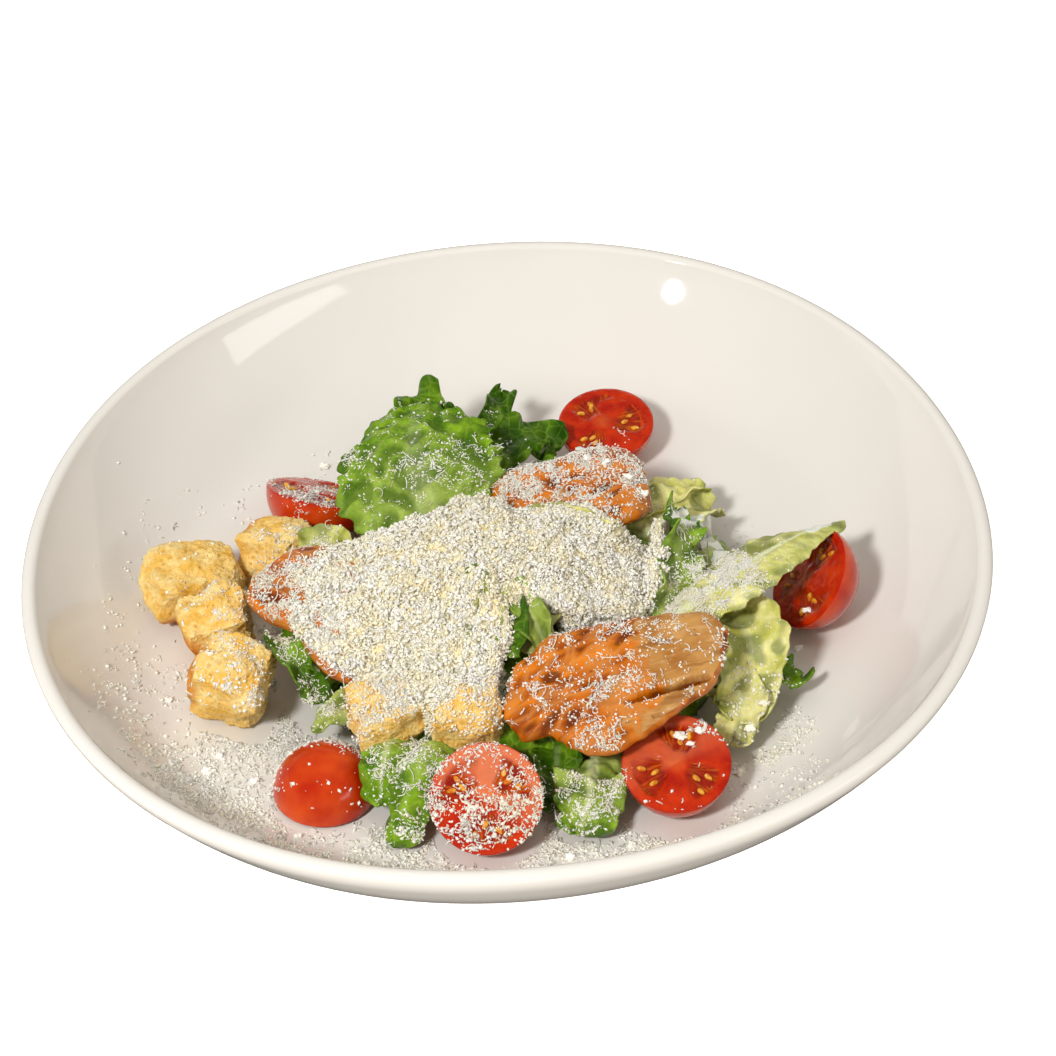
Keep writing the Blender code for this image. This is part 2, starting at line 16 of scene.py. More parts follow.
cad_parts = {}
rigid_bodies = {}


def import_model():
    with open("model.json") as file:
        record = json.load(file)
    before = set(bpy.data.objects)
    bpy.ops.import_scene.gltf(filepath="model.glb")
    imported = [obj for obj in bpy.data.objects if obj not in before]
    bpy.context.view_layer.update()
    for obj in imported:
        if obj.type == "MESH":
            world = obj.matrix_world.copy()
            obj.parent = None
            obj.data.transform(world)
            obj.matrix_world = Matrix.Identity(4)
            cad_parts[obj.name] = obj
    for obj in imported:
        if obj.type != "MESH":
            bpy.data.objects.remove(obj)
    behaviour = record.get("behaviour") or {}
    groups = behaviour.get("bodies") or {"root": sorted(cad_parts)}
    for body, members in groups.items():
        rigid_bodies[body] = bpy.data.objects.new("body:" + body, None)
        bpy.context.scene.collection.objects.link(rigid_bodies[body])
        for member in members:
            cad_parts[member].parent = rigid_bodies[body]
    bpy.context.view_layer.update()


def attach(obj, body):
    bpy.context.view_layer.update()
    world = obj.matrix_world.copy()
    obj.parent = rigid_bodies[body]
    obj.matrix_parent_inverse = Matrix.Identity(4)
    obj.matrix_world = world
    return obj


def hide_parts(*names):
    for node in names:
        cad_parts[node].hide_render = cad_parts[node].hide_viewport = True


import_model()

MM = 0.001
SEED = 11

# Coupe bowl
RIM_RADIUS = 133.0
RIM_HEIGHT = 48.0
RIM_THICKNESS = 3.8
INNER_RADIUS = RIM_RADIUS - RIM_THICKNESS
FLOOR_HEIGHT = 6.5
FLOOR_DISH = 8.5
WALL_START = 98.0
WALL_RISE = RIM_HEIGHT - 1.0 - FLOOR_HEIGHT - FLOOR_DISH * (INNER_RADIUS / 100) ** 2
WALL_THICKNESS = 4.5
FOOT_RADIUS = 50.0
LOBES = ((3, 0.0, -0.0083), (4, -0.0065, -0.0025))

# Heap of leaves under the toppings
HEAP_CENTRE = Vector((-5.0, -12.0))
HEAP_REACH = (55, 60, 58, 60, 66, 60, 50, 48, 50, 52, 52, 56, 62, 62, 62, 66)
HEAP_TOP = 36.0
HEAP_EDGE = 3.0
HEAP_BUMP = 2.2

# Heap of grated cheese
CHEESE_CENTRE = Vector((-10.0, -14.0))
CHEESE_REACH = (
    *(56, 58, 44, 32, 28, 28),
    *(28, 24, 22, 26, 36, 46),
    *(50, 52, 50, 46, 46, 50),
    *(46, 34, 22, 26, 38, 50),
)
CHEESE_DEPTH = 4.0
CHEESE_TOP = 50.0
CHEESE_FALL = 17.0
DIP_CENTRE = Vector((-1.0, -32.0))  # where the leaves show through the cheese
DIP_REACH = 13.0
DIP_DEPTH = 14.0


def lobe(angle):
    """How far the rim's slow waves reach at an angle, beside a plain circle."""
    return 1 + sum(c * math.cos(n * angle) + s * math.sin(n * angle) for n, c, s in LOBES)


def floor_height(radius):
    """Height of the bowl's inside at a distance from its axis."""
    ramp = max(0.0, radius - WALL_START) / (INNER_RADIUS - WALL_START)
    return FLOOR_HEIGHT + FLOOR_DISH * (radius / 100) ** 2 + WALL_RISE * ramp**2


def floor_at(x, y):
    return floor_height(math.hypot(x, y) / lobe(math.atan2(y, x)))


def smooth(x):
    x = min(1.0, max(0.0, x))
    return x * x * (3 - 2 * x)


def ripple(x, y, size, seed=0.0):
    """Smooth noise from -1 to 1 with features of about that size."""
    return noise.noise(Vector((x / size, y / size, seed)))


def crumple(place, size, seed=0.0):
    """The same in space."""
    return noise.noise(place / size + Vector((seed, seed * 0.7, -seed)))


# Materials


def linear(hex_colour):
    """An sRGB hex colour as the linear colour that shaders take."""
    parts = [int(hex_colour[i : i + 2], 16) / 255 for i in (0, 2, 4)]
    return (*[p / 12.92 if p <= 0.04045 else ((p + 0.055) / 1.055) ** 2.4 for p in parts], 1)


def add(tree, kind, inputs, **settings):
    """Adds a shader node with its settings. An input is a plain value or the socket that feeds it."""
    made = tree.nodes.new("ShaderNode" + kind)
    for name, value in settings.items():
        setattr(made, name, value)
    for name, value in inputs.items():
        if isinstance(value, bpy.types.NodeSocket):
            tree.links.new(value, made.inputs[name])
        else:
            made.inputs[name].default_value = value
    return made


def surface(name, **values):
    """A new material with a Principled shader, with its node tree, shader and object coordinates."""
    made = bpy.data.materials.new(name)
    made.use_nodes = True
    tree = made.node_tree
    shader = tree.nodes["Principled BSDF"]
    for socket, value in values.items():
        shader.inputs[socket.replace("_", " ")].default_value = value
    where = add(tree, "TexCoord", {}).outputs["Object"]
    return made, tree, shader, where


def blend(tree, share, first, second):
    """Socket of a colour that goes from the first to the second with the share."""
    colours = [c if isinstance(c, bpy.types.NodeSocket) else linear(c) for c in (first, second)]
    return add(tree, "Mix", {0: share, 6: colours[0], 7: colours[1]}, data_type="RGBA").outputs[2]


def spread(tree, value, low, high, to_low=0.0, to_high=1.0):
    """Socket of a value mapped from one range to another, clamped."""
    inputs = {"Value": value, "From Min": low, "From Max": high, "To Min": to_low, "To Max": to_high}
    return add(tree, "MapRange", inputs).outputs["Result"]


def total(tree, first, second):
    """Socket of the sum of two values."""
    return add(tree, "Math", {0: first, 1: second}, operation="ADD").outputs[0]


def painted(tree, name, output="Fac"):
    """Socket of a value that the mesh holds at each of its points."""
    return add(tree, "Attribute", {}, attribute_name=name).outputs[output]


def grain(tree, where, size, detail=2.0, roughness=0.5):
    """Socket of noise whose features are that many millimetres across."""
    inputs = {"Vector": where, "Scale": 1 / (size * MM), "Detail": detail, "Roughness": roughness}
    return add(tree, "TexNoise", inputs).outputs[0]


def relief(tree, shader, height, depth, strength=1.0):
    """Feeds the shader a bump of that many millimetres."""
    inputs = {"Height": height, "Distance": depth * MM, "Strength": strength}
    tree.links.new(add(tree, "Bump", inputs).outputs["Normal"], shader.inputs["Normal"])


def glazed_porcelain():
    # Feldspar glaze over white clay: smooth and mirror-like, a little warm, with bare clay on the foot
    made, tree, shader, where = surface("glazed_porcelain", Roughness=0.06, IOR=1.5)
    height = add(tree, "SeparateXYZ", {0: where}).outputs["Z"]
    bare = spread(tree, height, 0.0006, 0.0003)
    cloud = grain(tree, where, 45)
    glaze = blend(tree, cloud, "E6E3DC", "E1DDD5")
    tree.links.new(blend(tree, bare, glaze, "CFC6B4"), shader.inputs["Base Color"])
    tree.links.new(spread(tree, bare, 0, 1, 0.06, 0.75), shader.inputs["Roughness"])
    relief(tree, shader, grain(tree, where, 9), 0.02)
    return made


def tomato_skin():
    # Waxy ripe skin: glossy and saturated, a little more orange in places
    made, tree, shader, where = surface(
        "tomato_skin", Roughness=0.2, IOR=1.4, Coat_Weight=0.25, Coat_Roughness=0.05,
        Subsurface_Weight=0.1, Subsurface_Scale=0.002,
        Subsurface_Radius=(1.0, 0.15, 0.03),
    )
    mottle = grain(tree, where, 9, 3)
    tone = blend(tree, spread(tree, mottle, 0.35, 0.7), "B22404", "D24A10")
    tree.links.new(tone, shader.inputs["Base Color"])
    relief(tree, shader, grain(tree, where, 0.8), 0.02)
    return made


def tomato_flesh():
    # Wet cut flesh: the firm wall, clear gel with fine fibres in the pockets, and a paler core
    made, tree, shader, where = surface(
        "tomato_flesh", Roughness=0.16, IOR=1.4, Coat_Weight=0.5, Coat_Roughness=0.04,
        Subsurface_Weight=0.15, Subsurface_Scale=0.002,
        Subsurface_Radius=(1.0, 0.15, 0.03),
    )
    cut = painted(tree, "cut", "Vector")
    parts = add(tree, "SeparateXYZ", {0: cut})
    gel, core, edge = parts.outputs["X"], parts.outputs["Y"], parts.outputs["Z"]
    ray = painted(tree, "ray", "Vector")
    pale = painted(tree, "pale")
    inputs = {"Vector": ray, "Scale": 7.0, "Detail": 3, "Roughness": 0.6}
    streaks = add(tree, "TexNoise", inputs).outputs[0]
    fibres = grain(tree, where, 1.3, 4, 0.65)
    wall = blend(tree, spread(tree, grain(tree, where, 5), 0.35, 0.65), "AC1A02", "C83204")
    wall = blend(tree, pale, wall, "E08458")
    wet = blend(tree, spread(tree, grain(tree, where, 2.8), 0.4, 0.65), "86160E", "A62802")
    wet = blend(tree, spread(tree, streaks, 0.5, 0.68, 0.0, 0.7), wet, "D8700C")
    tone = blend(tree, gel, wall, wet)
    tone = blend(tree, spread(tree, core, 0.2, 1.0, 0.0, 0.35), tone, "DC7438")
    tone = blend(tree, spread(tree, fibres, 0.64, 0.76, 0.0, 0.2), tone, "E89454")
    tone = blend(tree, spread(tree, edge, 0.75, 1.0, 0.0, 0.8), tone, "AE1802")
    tree.links.new(tone, shader.inputs["Base Color"])
    relief(tree, shader, fibres, 0.2)
    return made


def tomato_seed():
    # Seeds in their gel coat: ochre and glossy
    made, tree, shader, where = surface(
        "tomato_seed", Roughness=0.25, Coat_Weight=0.5, Subsurface_Weight=0.2, Subsurface_Scale=0.001
    )
    tone = blend(tree, spread(tree, grain(tree, where, 1.4), 0.4, 0.6), "C8700C", "ECB040")
    tree.links.new(tone, shader.inputs["Base Color"])
    return made


def grilled_chicken():
    # Breast seared in oil: amber crust that shines a little, over pale meat with long fibres
    made, tree, shader, where = surface(
        "grilled_chicken", Roughness=0.42, IOR=1.42, Coat_Weight=0.15, Coat_Roughness=0.2,
        Subsurface_Weight=0.08, Subsurface_Scale=0.001,
        Subsurface_Radius=(1.0, 0.4, 0.15),
    )
    slab = painted(tree, "slab", "Vector")
    crust = painted(tree, "crust")
    groove_light = painted(tree, "groove_light")
    long = add(tree, "Mapping", {"Vector": slab, "Scale": (0.12, 0.7, 0.3)}).outputs["Vector"]
    fine = {"Vector": long, "Scale": 1.0, "Detail": 3, "Distortion": 0.5}
    coarse = {"Vector": long, "Scale": 0.35, "Detail": 3, "Distortion": 0.8}
    fibre, strand = [add(tree, "TexNoise", inputs).outputs[0] for inputs in (fine, coarse)]
    cloud = grain(tree, where, 7, 3)
    meat = blend(tree, spread(tree, cloud, 0.35, 0.65), "A46A28", "C89450")
    meat = blend(tree, spread(tree, fibre, 0.52, 0.68, 0, 0.5), meat, "DEB078")
    meat = blend(tree, spread(tree, strand, 0.6, 0.66, 0, 0.55), meat, "84501C")
    seared = blend(tree, spread(tree, strand, 0.38, 0.62), "9C4602", "DA7A08")
    # Painted highlight and shade: paler on the ridges, dark in the grooves and darkest in the gaps
    # between strands.
    seared = blend(tree, spread(tree, groove_light, 0.5, 0.85, 0, 0.5), seared, "CE8A44")
    seared = blend(tree, spread(tree, groove_light, 0.3, -0.1, 0, 0.8), seared, "642A02")
    mottle = grain(tree, where, 3.0, 3)
    edge = total(tree, crust, spread(tree, mottle, 0.3, 0.7, -0.22, 0.22))
    tone = blend(tree, spread(tree, edge, 0.36, 0.58), meat, seared)
    spot = spread(tree, grain(tree, where, 2.6, 3), 0.68, 0.75, 0, 0.7)
    tone = blend(tree, spot, tone, "6E320C")
    tree.links.new(tone, shader.inputs["Base Color"])
    relief(tree, shader, fibre, 0.3)
    return made


def toasted_bread():
    # White bread cut in cubes and fried: open yellow crumb, browned where it touched the pan
    made, tree, shader, where = surface(
        "toasted_bread", Roughness=0.6, Subsurface_Weight=0.12, Subsurface_Scale=0.001,
        Subsurface_Radius=(1.0, 0.7, 0.3),
    )
    crust = painted(tree, "crust")
    hole_shade = painted(tree, "hole_shade")
    mottle = grain(tree, where, 5, 4, 0.6)
    crumb = blend(tree, spread(tree, mottle, 0.35, 0.65), "EDB94C", "FBE19A")
    # Painted shade: the crumb is darker in its holes.
    crumb = blend(tree, hole_shade, crumb, "C98C28")
    brown = blend(tree, spread(tree, mottle, 0.3, 0.7), "C06A0C", "E89F36")
    edge = total(tree, crust, spread(tree, mottle, 0.3, 0.7, -0.25, 0.25))
    tone = blend(tree, spread(tree, edge, 0.35, 0.9), crumb, brown)
    fleck = spread(tree, grain(tree, where, 0.9, 1), 0.75, 0.79, 0, 0.8)
    tone = blend(tree, fleck, tone, "8A5418")
    tree.links.new(tone, shader.inputs["Base Color"])
    relief(tree, shader, grain(tree, where, 0.45, 2, 0.6), 0.4)
    return made


def lettuce_leaf():
    # Romaine and frisee wet with dressing: green blade between paler veins, white towards the rib
    made, tree, shader, where = surface(
        "lettuce_leaf", Roughness=0.36, IOR=1.36, Coat_Weight=0.06, Coat_Roughness=0.12,
        Subsurface_Weight=0.1, Subsurface_Scale=0.001,
        Subsurface_Radius=(0.5, 1.0, 0.1),
    )
    leaf = painted(tree, "leaf", "Vector")
    parts = add(tree, "SeparateXYZ", {0: leaf})
    fold, tint, rib = parts.outputs["X"], parts.outputs["Y"], parts.outputs["Z"]
    mottle = grain(tree, where, 7, 3, 0.6)
    inputs = {"Vector": where, "Scale": 1 / (3.2 * MM)}
    cells = add(tree, "TexVoronoi", inputs, feature="DISTANCE_TO_EDGE").outputs[0]
    vein = spread(tree, cells, 0.0, 0.1, 1.0, 0.0)
    dark = blend(tree, spread(tree, mottle, 0.35, 0.65), "0F3003", "2C5C07")
    bright = blend(tree, spread(tree, mottle, 0.35, 0.65), "406E02", "80A618")
    pale = blend(tree, spread(tree, mottle, 0.35, 0.65), "C0BE58", "ECE6A2")
    tone = blend(tree, spread(tree, tint, 0.0, 0.4), dark, bright)
    tone = blend(tree, spread(tree, tint, 0.45, 0.95), tone, pale)
    tone = blend(tree, spread(tree, vein, 0.0, 1.0, 0.0, 0.2), tone, "B4C85C")
    # Painted shade: the blade is darker where the fold value is low, in the leaf's creases and in the
    # heap's hollows.
    tone = blend(tree, spread(tree, fold, 0.6, 0.05, 0.0, 0.55), tone, "244A02")
    tone = blend(tree, rib, tone, "DDE2B0")
    tree.links.new(tone, shader.inputs["Base Color"])
    height = total(tree, spread(tree, cells, 0.0, 0.3), mottle)
    relief(tree, shader, height, 0.4, 0.5)
    return made


def grated_parmesan(name, light, deep):
    # Hard cheese off a fine grater: dry, matt and ivory, yellower in places at random; the deeper colour
    # where bits lie deep and in the core's hollows is painted shade
    made, tree, shader, where = surface(
        name, Roughness=0.65, Specular_IOR_Level=0.3, Subsurface_Weight=0.5, Subsurface_Scale=0.0007,
        Subsurface_Radius=(1.0, 1.0, 1.0),
    )
    tone = painted(tree, "tone")
    drift = spread(tree, grain(tree, where, 14), 0.4, 0.65, -0.15, 0.25)
    # The tone value is mostly painted shade, for bits lying deep and for the core's hollows; the drift
    # is random yellowing.
    warm = total(tree, tone, drift)
    tree.links.new(blend(tree, warm, light, deep), shader.inputs["Base Color"])
    relief(tree, shader, grain(tree, where, 0.8, 3), 0.3)
    return made


def caesar_dressing():
    # Egg and oil emulsion: thick, off-white and glossy
    made, tree, shader, where = surface(
        "caesar_dressing", Roughness=0.18, Coat_Weight=0.5, Subsurface_Weight=0.3, Subsurface_Scale=0.002
    )
    tree.links.new(blend(tree, grain(tree, where, 6), "F4F1E6", "E9E6D2"), shader.inputs["Base Color"])
    relief(tree, shader, grain(tree, where, 2.5), 0.2)
    return made


# Meshes


def place_piece(name, mesh, stands_for, finishes):
    for finish in finishes:
        mesh.materials.append(finish)
    piece = bpy.data.objects.new(name, mesh)
    bpy.context.scene.collection.objects.link(piece)
    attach(piece, "root")
    if stands_for:
        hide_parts(*stands_for)
    return piece


def add_piece(name, shape, finishes, stands_for=(), closed=True):
    """Makes a piece of a bmesh in millimetres."""
    if closed:
        bmesh.ops.recalc_face_normals(shape, faces=shape.faces)
    bmesh.ops.scale(shape, vec=(MM, MM, MM), verts=shape.verts)
    for face in shape.faces:
        face.smooth = True
    mesh = bpy.data.meshes.new(name)
    shape.to_mesh(mesh)
    shape.free()
    return place_piece(name, mesh, stands_for, finishes)


def blob(shape, segments, rings, point, split=1):
    """Adds a sphere whose points are moved: point(vert, angle, v), v being 0 at the top and 1 below.

    A split one is the first thing in its shape.
    """
    made = bmesh.ops.create_uvsphere(shape, u_segments=segments, v_segments=rings, radius=1)["verts"]
    if split > 1:
        bmesh.ops.subdivide_edges(shape, edges=shape.edges, cuts=split - 1, use_grid_fill=True)
        made = shape.verts[:]
    for vert in made:
        out = vert.co.normalized()
        v = math.acos(min(1.0, max(-1.0, out.z))) / math.pi
        vert.co = point(vert, math.atan2(out.y, out.x), v)


def pose(place, tilt, toward, turn):
    axis = Vector((-math.sin(math.radians(toward)), math.cos(math.radians(toward)), 0))
    tip = Matrix.Rotation(math.radians(tilt), 4, axis)
    return Matrix.Translation(place) @ tip @ Matrix.Rotation(math.radians(turn), 4, "Z")


# Bowl

BOWL_STEPS = 192


def outside_point(radius):
    """The point of the outside that lies a wall's thickness from the inside."""
    slope = math.atan(floor_height(radius + 0.5) - floor_height(radius - 0.5))
    across = WALL_THICKNESS * math.sin(slope)
    return radius + across, floor_height(radius) - WALL_THICKNESS * math.cos(slope)


def bowl_profile():
    """Half of its section, from the middle of the floor over the rim to the middle of the foot."""
    inside = [(r, floor_height(r)) for r in np.linspace(0, 128.6, 64)]
    lip = [
        (130.9 + 2.1 * math.cos(a), 46.2 + 1.8 * math.sin(a))
        for a in np.linspace(math.radians(165), 0, 14)
    ]
    turn_in = [(132.85, 45.0), (132.3, 43.4), (131.5, 41.7)]
    outside = [outside_point(r) for r in np.linspace(126.5, FOOT_RADIUS, 40)]
    foot = [(50.1, 3.4), (49.7, 0.6), (49.3, 0.12), (48.9, 0), (44.6, 0), (44.2, 0.12), (43.9, 0.5)]
    return [*inside, *lip, *turn_in, *outside, *foot, (43.4, 1.3), (42.6, 1.6), (0, 1.6)]


def build_bowl():
    shape = bmesh.new()
    verts = [shape.verts.new((r, 0, z)) for r, z in bowl_profile()]
    edges = [shape.edges.new(pair) for pair in zip(verts, verts[1:])]
    bmesh.ops.spin(
        shape, geom=verts + edges, cent=(0, 0, 0), axis=(0, 0, 1), angle=math.tau, steps=BOWL_STEPS,
        use_merge=True,
    )
    bmesh.ops.remove_doubles(shape, verts=shape.verts, dist=0.01)
    for vert in shape.verts:
        share = smooth(math.hypot(vert.co.x, vert.co.y) / RIM_RADIUS)
        factor = 1 + (lobe(math.atan2(vert.co.y, vert.co.x)) - 1) * share
        vert.co.x *= factor
        vert.co.y *= factor
    return add_piece("salad_bowl", shape, [glazed_porcelain()], ["bowl"])


# Cherry tomato halves: centre of the cut face, radius, tilt of the face, its compass angle, turn, point
TOMATOES = {
    "tomato_back_right": ((31.0, 66.5, 25.1), 14.4, 8, 265, 0, 0.09),
    "tomato_back_left": ((-53.8, 41.2, 26.3), 16.0, 30, 60, 50, 0.05),
    "tomato_right": ((83.0, -11.0, 27.2), 14.8, 52, 190, 20, 0.04),
    "tomato_front_right": ((40.8, -78.0, 27.1), 14.2, 16, 265, 80, 0.03),
    "tomato_front_centre": ((-8.7, -86.0, 27.6), 14.6, 32, 270, 30, 0.02),
    "tomato_front_left": ((-50.8, -66.5, 14.4), 13.6, 176, 200, 0, 0.06),
}
# How pale the far side of each cut face is
PALE = {
    "tomato_back_right": 0.0,
    "tomato_back_left": 0.1,
    "tomato_right": 0.0,
    "tomato_front_right": 0.35,
    "tomato_front_centre": 0.75,
    "tomato_front_left": 0.0,
}
TOMATO_DEPTH = 0.93
TOMATO_WALL = 0.82
POCKET_DEPTH = 0.8
POCKETS = 3
SEED_SIZE = (2.6, 1.7, 1.3)
SEED_ROWS = ((0.45, 0.0), (0.66, -0.26), (0.6, 0.28))  # in each pocket: distance out and turn


def tomato_parts(seed, x, y, angle, q):
    """How much a point of the cut face is gel, core and edge."""
    angle += 0.5 * ripple(x, y, 9.0, seed)
    wall = TOMATO_WALL + 0.03 + 0.06 * ripple(x, y, 4.0, seed)
    between = smooth((q - 0.2) / 0.14) * smooth((wall - q) / 0.1)
    gel = between * smooth(0.5 + 1.1 * math.cos(POCKETS * angle))
    return gel, 1 - smooth(q / 0.34), smooth((q - 0.9) / 0.1)


def tomato_point(radius, point, seed, angle, v):
    reach = radius * (1 + point * math.cos(angle))
    if v > 0.5:
        q = math.sin(math.pi * v)
        height = radius * TOMATO_DEPTH * math.cos(math.pi * v)
        return Vector((reach * q * math.cos(angle), reach * q * math.sin(angle), height))
    q = v * 2
    x, y = reach * q * math.cos(angle), reach * q * math.sin(angle)
    gel, core, edge = tomato_parts(seed, x, y, angle, q)
    lumps = 0.25 * ripple(x, y, 1.6, seed) * (1 - edge) + 0.3 * gel * ripple(x, y, 2.8, seed + 5)
    height = 0.5 * (1 - q * q) - POCKET_DEPTH * gel + 0.3 * core + lumps - 0.25 * edge**3
    return Vector((x, y, height))


def add_seeds(shape, radius, point, index, rng):
    """Adds the seeds that show in the pockets of a cut face."""
    long, wide, thick = SEED_SIZE
    for pocket in range(POCKETS):
        for out, aside in SEED_ROWS:
            q = out + rng.uniform(-0.05, 0.05)
            angle = math.tau * pocket / POCKETS + aside + rng.uniform(-0.12, 0.12)
            spot = tomato_point(radius, point, index, angle, q / 2)
            seed = bmesh.ops.create_uvsphere(shape, u_segments=12, v_segments=8, radius=0.5)["verts"]
            for vert in seed:
                narrow = 1 - 0.35 * (vert.co.x + 0.5)
                vert.co = Vector((vert.co.x * long, vert.co.y * wide * narrow, vert.co.z * thick))
            spin = Matrix.Rotation(angle + rng.uniform(-0.5, 0.5), 4, "Z")
            lie = Matrix.Translation(spot + Vector((0, 0, 0.1))) @ spin
            bmesh.ops.transform(shape, matrix=lie, verts=seed)
            for face in {face for vert in seed for face in vert.link_faces}:
                face.material_index = 2


def build_tomatoes():
    skin, flesh, pip = tomato_skin(), tomato_flesh(), tomato_seed()
    rng = random.Random(SEED)
    for index, (name, (place, radius, tilt, toward, turn, point)) in enumerate(TOMATOES.items()):
        shape = bmesh.new()
        cut = shape.verts.layers.float_vector.new("cut")
        ray = shape.verts.layers.float_vector.new("ray")
        pale = shape.verts.layers.float.new("pale")

        def shape_point(vert, angle, v):
            spot = tomato_point(radius, point, index, angle, v)
            vert[cut] = tomato_parts(index, spot.x, spot.y, angle, v * 2) if v < 0.501 else (0, 0, 1)
            vert[ray] = (math.cos(angle), math.sin(angle), v * 0.5)
            vert[pale] = PALE[name] * smooth(0.5 + math.cos(angle - 0.6))
            return spot

        blob(shape, 36, 18, shape_point, split=4)
        for face in shape.faces:
            middle = sum((vert.co for vert in face.verts), Vector()) / len(face.verts)
            on_skin = middle.z < -0.35 and middle.xy.length > radius * (1 - abs(point)) * 0.9
            face.material_index = 0 if on_skin or middle.z < -1.2 * POCKET_DEPTH else 1
        add_seeds(shape, radius, point, index, rng)
        shape.transform(pose(place, tilt, toward, turn))
        add_piece(name.replace("tomato_", "cherry_tomato_"), shape, [skin, flesh, pip], [name])


# Croutons: centre, size, turn about Z, tip, compass angle of the tip, seed
CROUTONS = {
    "crouton_left": ((-89.7, 8.3, 23.9), (25.0, 20.0, 17.0), 18, 10, 0, 1),
    "crouton_back": ((-66.2, 17.8, 22.7), (20.0, 17.0, 20.0), -25, 12, 90, 2),
    "crouton_middle": ((-81.0, -11.2, 24.5), (19.0, 18.0, 19.0), 12, 12, 250, 3),
    "crouton_front": ((-76.1, -34.2, 25.4), (21.0, 19.0, 20.5), -20, 18, 300, 4),
    "crouton_centre_left": ((-32.8, -54.3, 28.9), (21.0, 16.0, 19.0), 15, 14, 260, 5),
    "crouton_centre": ((-12.2, -58.8, 29.5), (17.0, 16.0, 20.0), -8, 8, 270, 6),
}
# Which way each crouton's browned side faces before it is turned
BROWNED = {
    "crouton_left": (-0.1, -0.4, -1),
    "crouton_back": (-1, 0.2, 0.1),
    "crouton_middle": (-1, -0.3, -0.2),
    "crouton_front": (-1, -0.1, -0.1),
    "crouton_centre_left": (-0.6, 0.8, -0.2),
    "crouton_centre": (0.3, 0.6, -1),
}
CROUTON_SQUARE = 0.5
CROUTON_CRAG = 2.0
CROUTON_CUTS = 50


def crouton_point(co, size, seed):
    round_off = co.normalized()
    block = co * CROUTON_SQUARE + round_off * (1 - CROUTON_SQUARE) * 1.12
    crag = 1 + CROUTON_CRAG / 10 * noise.noise(round_off * 1.7 + Vector((seed * 7.3, 0, 0)))
    return Vector((block.x * size[0] / 2, block.y * size[1] / 2, block.z * size[2] / 2)) * crag


def build_croutons():
    bread = toasted_bread()
    for name, (place, size, turn, tip, toward, seed) in CROUTONS.items():
        shape = bmesh.new()
        crust = shape.verts.layers.float.new("crust")
        hole_shade = shape.verts.layers.float.new("hole_shade")
        bmesh.ops.create_cube(shape, size=2)
        bmesh.ops.subdivide_edges(shape, edges=shape.edges, cuts=CROUTON_CUTS, use_grid_fill=True)
        browned = Vector(BROWNED[name]).normalized()
        for vert in shape.verts:
            out = vert.co.normalized()
            spot = crouton_point(vert.co, size, seed)
            brown = smooth((out.dot(browned) - 0.45) / 0.4)
            open_crumb = 1 - 0.85 * brown
            holes = max(0.0, 0.34 - noise.voronoi(spot / 2.2)[0][0]) * 1.8
            fine = crumple(spot, 0.55, seed) + 0.7 * crumple(spot, 1.0, seed)
            lumps = 0.5 * crumple(spot, 5.0, seed) + 0.3 * crumple(spot, 1.8, seed) + 0.42 * fine
            vert[crust] = brown
            # The holes are sunk and also painted darker: painted shade.
            vert[hole_shade] = min(1.0, open_crumb * max(0.0, holes * 1.6 - 0.35 * fine))
            vert.co = spot + out * (0.5 * crumple(spot, 7.0, seed) + open_crumb * (lumps - holes) - 0.2)
        shape.transform(pose(place, tip, toward, turn))
        add_piece("toasted_" + name, shape, [bread], [name])


# Grilled chicken slices: centre, half length, half width, half thickness, turn, tilt, compass angle
# of the tilt, bend, seed
CHICKEN = {
    "chicken_front": ((26.8, -57.7, 39.5), 30.0, 18.0, 4.2, 14, 17, 250, 2.5, 1),
    "chicken_left": ((-48.7, -19.0, 37.2), 26.0, 16.5, 4.6, -50, 10, 230, 2.5, 2),
    "chicken_back": ((20.5, 19.0, 39.0), 24.0, 13.0, 4.6, 6, 12, 270, 2.0, 3),
}
CHICKEN_RIDGE = 0.7
# Gaps between the strands of the front slice: centre, half length, half width, turn
SLITS = (((35.2, -66.5, 41.0), 5.9, 1.1, 14), ((46.3, -63.7, 43.0), 5.0, 1.0, 20))
SLIT_DEPTH = 7.0
FRONT_SEED = 1
# Outline of the front slice, round it from its right end
FRONT_REACH = (
    *(1.03, 1.09, 1.13, 1.12, 1.00, 0.92, 0.91, 0.91),
    *(0.92, 0.99, 1.11, 1.06, 1.09, 1.06, 1.02, 1.02),
    *(1.02, 1.01, 1.01, 0.86, 0.90, 1.00, 1.13, 1.16),
    *(1.06, 1.00, 0.94, 0.93, 0.97, 0.98, 0.96, 0.98),
)


def chicken_outline(angle, seed):
    if seed == FRONT_SEED:
        return reach_at(FRONT_REACH, angle)
    lumps = 0.07 * math.cos(3 * angle + seed) + 0.05 * math.cos(5 * angle + 2.1 * seed)
    return 1 + 0.10 * math.cos(4 * angle + math.pi) + lumps


def seared(x, y, q, side, seed):
    """How browned a point of a slice is: x and y run from -1 to 1 along and across it."""
    if side < 0 or q > 0.985:
        return 1.0
    rim = smooth((q - 0.95) / 0.03)
    if seed == FRONT_SEED:
        patch = 0.5 + 1.6 * (0.2 + 0.25 * y - x) + 0.8 * ripple(x, y, 0.4, 3.0)
        return max(rim, min(1.0, max(0.0, patch)))
    return max(rim, min(1.0, 0.75 + 0.5 * ripple(x, y, 0.5, seed)))


